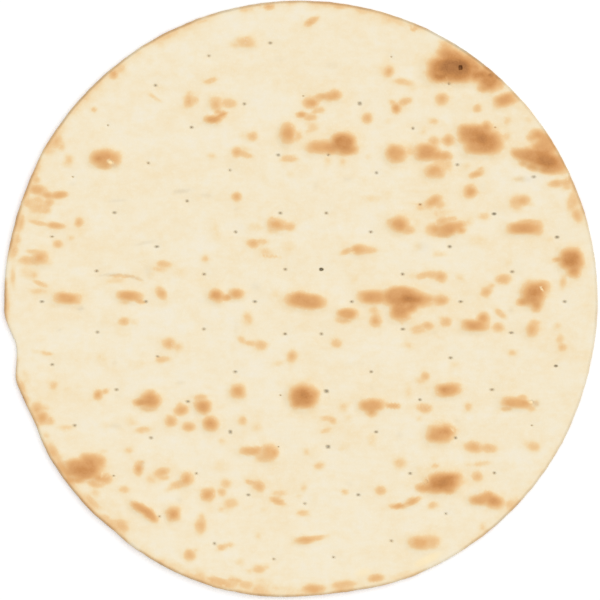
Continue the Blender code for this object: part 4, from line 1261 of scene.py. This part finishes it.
    def build(self) -> bpy.types.Object:
        """Makes the bread's mesh, and keeps on its vertices what the crust's finish reads.

        Returns:
            The bread, without its finish.
        """
        flat, middles = self.bent_grid()
        x, y = flat[..., 0], flat[..., 1]
        skin = Skin()
        top = self.relief.top(x.ravel(), y.ravel())
        above = skin.add(Points.on_skin(np.column_stack([x.ravel(), y.ravel(), top]), 1.0)).reshape(x.shape)
        low_x, low_y = x[::2, ::2], y[::2, ::2]
        under = self.relief.under(low_x.ravel(), low_y.ravel())
        below = skin.add(Points.on_skin(np.column_stack([low_x.ravel(), low_y.ravel(), under]), 0.0))
        below = below.reshape(low_x.shape)

        pins = len(self.pins)
        places = Points.joined(skin.parts).place[:, :2]
        skin.lay(self.short_split(self.cell_corners(above, middles, 2), places), Chart.SHOWN)
        under_cells = self.cell_corners(below, middles[:pins] // 2, 1)[:, ::-1]
        skin.lay(self.short_split(under_cells, places), Chart.UNDER)
        round_block = middles[:, None, :] + self.block_offsets(2)[None]
        borders = above[round_block[..., 0], round_block[..., 1]]
        round_low = middles[:pins, None, :] // 2 + self.block_offsets(1)[None]
        low_borders = below[round_low[..., 0], round_low[..., 1]]
        spots = flat[middles[:, 0], middles[:, 1]]
        border_places = flat[round_block[..., 0], round_block[..., 1]]
        self.pierce(skin, borders[:pins], low_borders, spots[:pins], border_places[:pins])
        self.burst(skin, borders[pins:], spots[pins:], border_places[pins:])

        edge = self.border(above)
        edge_places = np.column_stack([self.border(x), self.border(y), self.border(top.reshape(x.shape))])
        self.rim(skin, edge, self.border(below), edge_places, self.relief.under(edge_places[:, 0], edge_places[:, 1]))

        span = self.outline.radius + self.map_spare * self.outline.tuck
        near, far = self.shown_map + self.map_margin, 1.0 - self.under_map - self.map_margin
        charts = {
            Chart.SHOWN: (np.array([near, near]), self.shown_map / span),
            Chart.UNDER: (np.array([far, far]), self.under_map / span),
        }
        mesh, points = skin.mesh("cracker_bread_crust", charts)
        self.mark(mesh, points)
        return put_in_scene("cracker_bread_crust", mesh)

    def mark(self, mesh: bpy.types.Mesh, points: Points) -> None:
        """Writes the browning, the painted shade of wrinkles and dents, the painted shade in the holes, the bare
        crumb with two painted highlights and the painted shade along the rim's edge onto the vertices.

        Args:
            mesh: the bread's mesh.
            points: the table of its vertices.
        """
        x, y = points.place[:, 0], points.place[:, 1]
        look = self.browning
        flecks = points.side * look.spread(look.flecks, x, y, look.fleck_warp)
        marks = {
            "toast": points.side * look.shown(x, y) + (1.0 - points.side) * look.under(x, y),
            "wrinkle_shade": points.side * look.spread(look.wrinkle_shades, x, y, look.wrinkle_shade_warp),
            "hole_shade": points.hole_shade,
            "pale": np.maximum(points.pale, flecks),
            "inset": np.clip(look.outline.inset(x, y) / MM, 0.0, self.inset_limit),
            "line": look.rim_edge_shade(x, y),
        }
        for name, values in marks.items():
            layer = mesh.attributes.new(name, "FLOAT", "POINT")
            layer.data.foreach_set("value", values.astype(np.float32))

    @staticmethod
    def dress(bread: bpy.types.Object) -> None:
        """Gives the bread its crust, hides the CAD part that it replaces, and hangs it on the body that carries it.

        Args:
            bread: the bread, as build makes it.
        """
        bread.data.materials.append(CrustFinish().material())
        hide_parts("cracker_bread")
        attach(bread, "root")


# --------------------------------------------------------------------------------------------------------------
# Finishes


class Wire:
    """A number or colour in a material: a node's output, with arithmetic that adds Math nodes."""

    def __init__(self, kit: "NodeKit", socket: bpy.types.NodeSocket) -> None:
        self.kit, self.socket = kit, socket

    def _join(self, operation: str, *values: "Wire | float") -> "Wire":
        """Adds a Math node for these values."""
        node = self.kit.add("ShaderNodeMath", {"operation": operation}, dict(enumerate(values)))
        return Wire(self.kit, node.outputs[0])

    def __add__(self, other: "Wire | float") -> "Wire":
        """This plus other."""
        return self._join("ADD", self, other)

    __radd__ = __add__

    def __sub__(self, other: "Wire | float") -> "Wire":
        """This less other."""
        return self._join("SUBTRACT", self, other)

    def __rsub__(self, other: "Wire | float") -> "Wire":
        """Other less this."""
        return self._join("SUBTRACT", other, self)

    def __mul__(self, other: "Wire | float") -> "Wire":
        """This times other."""
        return self._join("MULTIPLY", self, other)

    __rmul__ = __mul__

    def held(self, low: float = 0.0, high: float = 1.0) -> "Wire":
        """This, kept between two numbers."""
        return self._join("MINIMUM", self._join("MAXIMUM", self, low), high)

    def eased(self, low: float, high: float) -> "Wire":
        """Eases this from 0 to 1 along a smooth S.

        Args:
            low: where it is still 0.
            high: where it is 1.

        Returns:
            The eased number.
        """
        sockets = {"Value": self, "From Min": low, "From Max": high}
        node = self.kit.add("ShaderNodeMapRange", {"interpolation_type": "SMOOTHSTEP"}, sockets)
        return Wire(self.kit, node.outputs["Result"])


Feed = Wire | float | tuple    # what an input of a node takes


class NodeKit:
    """Adds the nodes of one material."""

    def __init__(self, name: str) -> None:
        """Starts a material that has only its surface shader and output.

        Args:
            name: name of the material.
        """
        self.material = bpy.data.materials.new(name)
        self.material.use_nodes = True
        self.tree = self.material.node_tree
        self.shader = self.tree.nodes["Principled BSDF"]

    def add(self, kind: str, settings: dict[str, object], sockets: dict[int | str, Feed]) -> bpy.types.Node:
        """Adds a node.

        Args:
            kind: the node's type.
            settings: its own settings, set first; "stops" is a colour ramp's list of (place, colour).
            sockets: values or wires for its inputs, by number or name.

        Returns:
            The node.
        """
        node = self.tree.nodes.new(kind)
        for name, value in settings.items():
            if name == "stops":
                self._set_stops(node.color_ramp, value)
            else:
                setattr(node, name, value)
        for name, value in sockets.items():
            self.feed(node.inputs[name], value)
        return node

    def feed(self, socket: bpy.types.NodeSocket, value: Feed) -> None:
        """Links a wire to an input, or sets the input's own value.

        Args:
            socket: the input.
            value: the wire or the value.
        """
        if isinstance(value, Wire):
            self.tree.links.new(value.socket, socket)
        else:
            socket.default_value = value

    @staticmethod
    def _set_stops(ramp: bpy.types.ColorRamp, stops: Sequence[tuple[float, Colour]]) -> None:
        """Gives a ramp its stops.

        Args:
            ramp: the ramp.
            stops: place (0 to 1) and colour of each stop, in order.
        """
        while len(ramp.elements) > 1:
            ramp.elements.remove(ramp.elements[-1])
        ramp.elements[0].position, ramp.elements[0].color = stops[0]
        for place, colour in stops[1:]:
            ramp.elements.new(place).color = colour

    def attribute(self, name: str) -> Wire:
        """A number kept on the mesh's vertices."""
        node = self.add("ShaderNodeAttribute", {"attribute_name": name}, {})
        return Wire(self, node.outputs["Fac"])

    def place(self, scale: Triple = (1.0, 1.0, 1.0)) -> Wire:
        """The object's own coordinates in metres.

        Args:
            scale: what each axis is multiplied by.

        Returns:
            The coordinates.
        """
        where = self.add("ShaderNodeTexCoord", {}, {})
        sockets = {"Vector": Wire(self, where.outputs["Object"]), "Scale": scale}
        return Wire(self, self.add("ShaderNodeMapping", {}, sockets).outputs["Vector"])

    def noise(self, place: Wire, size: float, detail: float, roughness: float) -> Wire:
        """Noise from 0 to 1 whose features are about this size, in metres."""
        sockets = {"Vector": place, "Scale": 1.0 / size, "Detail": detail, "Roughness": roughness}
        return Wire(self, self.add("ShaderNodeTexNoise", {}, sockets).outputs["Fac"])

    def ramp(self, value: Wire, stops: Sequence[tuple[float, Colour]]) -> Wire:
        """The colour that a ramp gives for a number."""
        return Wire(self, self.add("ShaderNodeValToRGB", {"stops": stops}, {"Fac": value}).outputs["Color"])

    def mix(self, factor: Feed, first: Feed, second: Feed, blend: str = "MIX") -> Wire:
        """Mixes two colours."""
        node = self.add("ShaderNodeMix", {"data_type": "RGBA", "blend_type": blend}, {0: factor, 6: first, 7: second})
        return Wire(self, node.outputs[2])

    def bump(self, height: Wire, distance: float, strength: float) -> Wire:
        """The normal of a surface with this height, in metres for a height of 1."""
        node = self.add("ShaderNodeBump", {}, {"Strength": strength, "Distance": distance, "Height": height})
        return Wire(self, node.outputs["Normal"])

    def surfaced(self, sockets: dict[str, Feed]) -> bpy.types.Material:
        """Feeds the surface shader.

        Args:
            sockets: values or wires for its inputs, by name.

        Returns:
            The finished material.
        """
        for name, value in sockets.items():
            self.feed(self.shader.inputs[name], value)
        return self.material


@dataclass(frozen=True)
class CrustFinish:
    """Baked crust: pale and floury, from gold to deep tan where it is toasted."""

    toast_stops: tuple[tuple[float, Colour], ...] = (
        (0.00, display_colour(243, 234, 213)),
        (0.06, display_colour(244, 231, 202)),
        (0.16, display_colour(243, 222, 182)),
        (0.25, display_colour(240, 205, 154)),
        (0.50, display_colour(229, 177, 117)),
        (0.65, display_colour(219, 162, 103)),
        (0.80, display_colour(202, 139, 77)),
        (1.00, display_colour(165, 107, 54)),
    )
    flour: Colour = display_colour(249, 240, 218)
    # Bare crumb, also used for two painted highlights
    crumb_and_highlight: Colour = display_colour(255, 234, 187)
    # Grey-beige painted shade of fine wrinkles, small ridges and faint dents
    wrinkle_shade: Colour = display_colour(205, 192, 168)
    # Painted shade deep in the docker holes and burst spots, multiplied in
    hole_shade_colour: Colour = display_colour(114, 101, 56)
    # Painted shade of the rim's steep edge, multiplied in
    rim_shade_colour: Colour = display_colour(212, 210, 210)
    rim_shade_ends: Pair = (0.8, 2.1)               # where the painted shade along the rim's edge starts to fade and ends, in millimetres
    # Each noise: size of its features in metres, detail and roughness
    clouds: Triple = (22.0 * MM, 2.0, 0.5)
    blotches: Triple = (5.0 * MM, 3.0, 0.5)
    specks: Triple = (1.1 * MM, 3.0, 0.6)
    streaks: Triple = (2.6 * MM, 2.0, 0.5)
    grains: Triple = (0.45 * MM, 2.0, 0.6)
    rolled: Triple = (0.35, 1.0, 1.0)          # draws the clouds and the streaks out along X
    pale_level: float = 0.055
    pale_blotches: float = 0.14                # how far each noise changes the level of the pale crust
    pale_clouds: float = 0.12
    pale_streaks: float = 0.07
    edge_blotches: float = 0.30                # the same for the edges of the toast,
    toast_specks: float = 0.22                 # and for the toast itself
    dusting: float = 0.35                      # how strongly flour shows,
    dusting_specks: Pair = (0.52, 0.75)        # where it starts and is full among the specks,
    dusting_toast: Pair = (0.1, 0.6)           # and where it starts to fail and is gone on the toast
    wrinkle_shade_blotches: Pair = (0.6, 0.8)         # least strength of the painted wrinkle shade, and what a blotch adds
    rim_shade_blotches: Pair = (0.7, 0.6)           # the same for the painted shade along the rim's edge
    crumb_and_highlight_ends: Pair = (0.10, 1.00)            # where bare crumb and the painted highlights start to show and cover all
    hole_shade_strength: float = 0.28                   # how strongly painted shade darkens the usual hole
    roughness: float = 0.80
    toast_gloss: float = 0.20                  # how much smoother the darkest toast is
    rough_specks: float = 0.12
    rough_least: float = 0.3
    specular: float = 0.30
    bump_depth: float = 0.35 * MM
    bump_strength: float = 0.8
    bump_shares: tuple[float, ...] = (0.35, 0.25, 0.30, 0.10)    # of blotches, streaks, specks and grains

    def material(self) -> bpy.types.Material:
        """Builds the crust from the marks on the vertices and noise at five scales.

        Returns:
            The material.
        """
        kit = NodeKit("baked_crust")
        place, rolled = kit.place(), kit.place(self.rolled)
        cloud, blotch = kit.noise(rolled, *self.clouds), kit.noise(place, *self.blotches)
        speck, streak = kit.noise(place, *self.specks), kit.noise(rolled, *self.streaks)
        grain = kit.noise(place, *self.grains)

        toast = kit.attribute("toast")
        pale = (blotch - 0.5) * self.pale_blotches + (cloud - 0.5) * self.pale_clouds
        pale = pale + (streak - 0.5) * self.pale_streaks + self.pale_level
        edge = toast * (1.0 - toast) * (blotch - 0.5) * self.edge_blotches
        level = toast + edge + toast * (speck - 0.5) * self.toast_specks + pale
        colour = kit.ramp(level.held(), self.toast_stops)

        bare = 1.0 - toast.eased(*self.dusting_toast)
        colour = kit.mix(speck.eased(*self.dusting_specks) * bare * self.dusting, colour, self.flour)
        # Painted shade of fine wrinkles, small ridges and faint dents
        least, more = self.wrinkle_shade_blotches
        colour = kit.mix(kit.attribute("wrinkle_shade") * (least + more * blotch), colour, self.wrinkle_shade)
        # Painted shade along the rim's steep edge, multiplied in
        least, more = self.rim_shade_blotches
        line = (1.0 - kit.attribute("inset").eased(*self.rim_shade_ends)) * kit.attribute("line") * (least + more * blotch)
        colour = kit.mix(line.held(), colour, self.rim_shade_colour, "MULTIPLY")
        colour = kit.mix(kit.attribute("pale").eased(*self.crumb_and_highlight_ends), colour, self.crumb_and_highlight)
        # Painted shade deep in the docker holes and burst spots, multiplied in
        colour = kit.mix(kit.attribute("hole_shade") * self.hole_shade_strength, colour, self.hole_shade_colour, "MULTIPLY")

        rough = self.roughness - self.toast_gloss * toast + (speck - 0.5) * self.rough_specks
        by_blotch, by_streak, by_speck, by_grain = self.bump_shares
        relief = blotch * by_blotch + streak * by_streak + speck * by_speck + grain * by_grain
        return kit.surfaced({
            "Base Color": colour, "Roughness": rough.held(self.rough_least), "Specular IOR Level": self.specular,
            "Normal": kit.bump(relief, self.bump_depth, self.bump_strength),
        })


@dataclass(frozen=True)
class FloorFinish:
    """Plain matt white studio floor, which glows a little so that it stays white beside the bread."""

    colour: Colour = display_colour(246, 246, 247)
    glow: float = 0.12

    def material(self) -> bpy.types.Material:
        """Builds the floor's finish."""
        return NodeKit("studio_floor").surfaced({
            "Base Color": self.colour, "Roughness": 1.0, "Specular IOR Level": 0.0,
            "Emission Color": WHITE, "Emission Strength": self.glow,
        })


# --------------------------------------------------------------------------------------------------------------
# The studio


@dataclass(frozen=True)
class Lamp:
    """A far, broad softbox: its light comes from one direction, spread over an angle."""

    name: str
    azimuth: float            # degrees from +X towards +Y
    tilt: float               # degrees away from straight overhead
    spread: float             # degrees that the softbox spans
    strength: float


@dataclass
class Studio:
    """The floor, the lights and the camera, which looks straight down through a long lens."""

    frame_width: float = 382.2 * MM            # width of the picture at the bread's height
    aim: Pair = (-0.3 * MM, -0.4 * MM)         # x and y of the middle of the picture
    camera_height: float = 3.0
    camera_end: float = 50.0                   # how far the camera sees
    bread_height: float = 4.0 * MM
    sensor: float = 36.0                       # millimetres
    floor_half: float = 8.0
    floor_drop: float = 0.05 * MM
    lamp_height: float = 2.0                   # a sun shines alike from anywhere
    sky: float = 0.445
    lamps: tuple[Lamp, ...] = (Lamp("softbox", 40.0, 15.0, 80.0, 1.84),)

    def floor(self) -> None:
        """Lays the floor just under the bread."""
        half, low = self.floor_half, -self.floor_drop
        mesh = bpy.data.meshes.new("floor")
        corners = [(-half, -half, low), (half, -half, low), (half, half, low), (-half, half, low)]
        mesh.from_pydata(corners, [], [(0, 1, 2, 3)])
        mesh.materials.append(FloorFinish().material())
        put_in_scene("floor", mesh)

    def lights(self) -> None:
        """Sets an even white sky, and the soft lamps."""
        world = bpy.data.worlds.new("studio")
        world.use_nodes = True
        background = world.node_tree.nodes["Background"]
        background.inputs["Color"].default_value, background.inputs["Strength"].default_value = WHITE, self.sky
        bpy.context.scene.world = world
        for lamp in self.lamps:
            light = bpy.data.lights.new(lamp.name, "SUN")
            light.angle, light.energy = math.radians(lamp.spread), lamp.strength
            shine = put_in_scene(lamp.name, light)
            shine.location = (0.0, 0.0, self.lamp_height)
            shine.rotation_euler = (0.0, math.radians(lamp.tilt), math.radians(lamp.azimuth))

    def camera(self) -> None:
        """Hangs the camera over the bread: the lens is the sensor's width times distance over the frame's width."""
        lens = bpy.data.cameras.new("camera")
        lens.sensor_width = self.sensor
        lens.lens = self.sensor * (self.camera_height - self.bread_height) / self.frame_width
        lens.clip_end = self.camera_end
        camera = put_in_scene("camera", lens)
        camera.location = (*self.aim, self.camera_height)
        bpy.context.scene.camera = camera
        bpy.context.scene.view_settings.view_transform = "Standard"

    def build(self) -> None:
        """Sets the studio up."""
        self.camera()
        self.lights()
        self.floor()


def main() -> None:
    """Builds the studio and the bread, and reports each piece."""
    logging.basicConfig(level=logging.INFO, format="%(name)s: %(message)s")
    Studio().build()
    LOG.info("studio: floor, lights and camera")
    sheet = BreadSheet()
    bread = sheet.build()
    sheet.dress(bread)
    bread.data.calc_loop_triangles()
    LOG.info("cracker bread: %d triangles, %d docker holes, %d patches", len(bread.data.loop_triangles),
             len(sheet.pins), len(sheet.relief.patches))


if __name__ == "__main__":
    main()
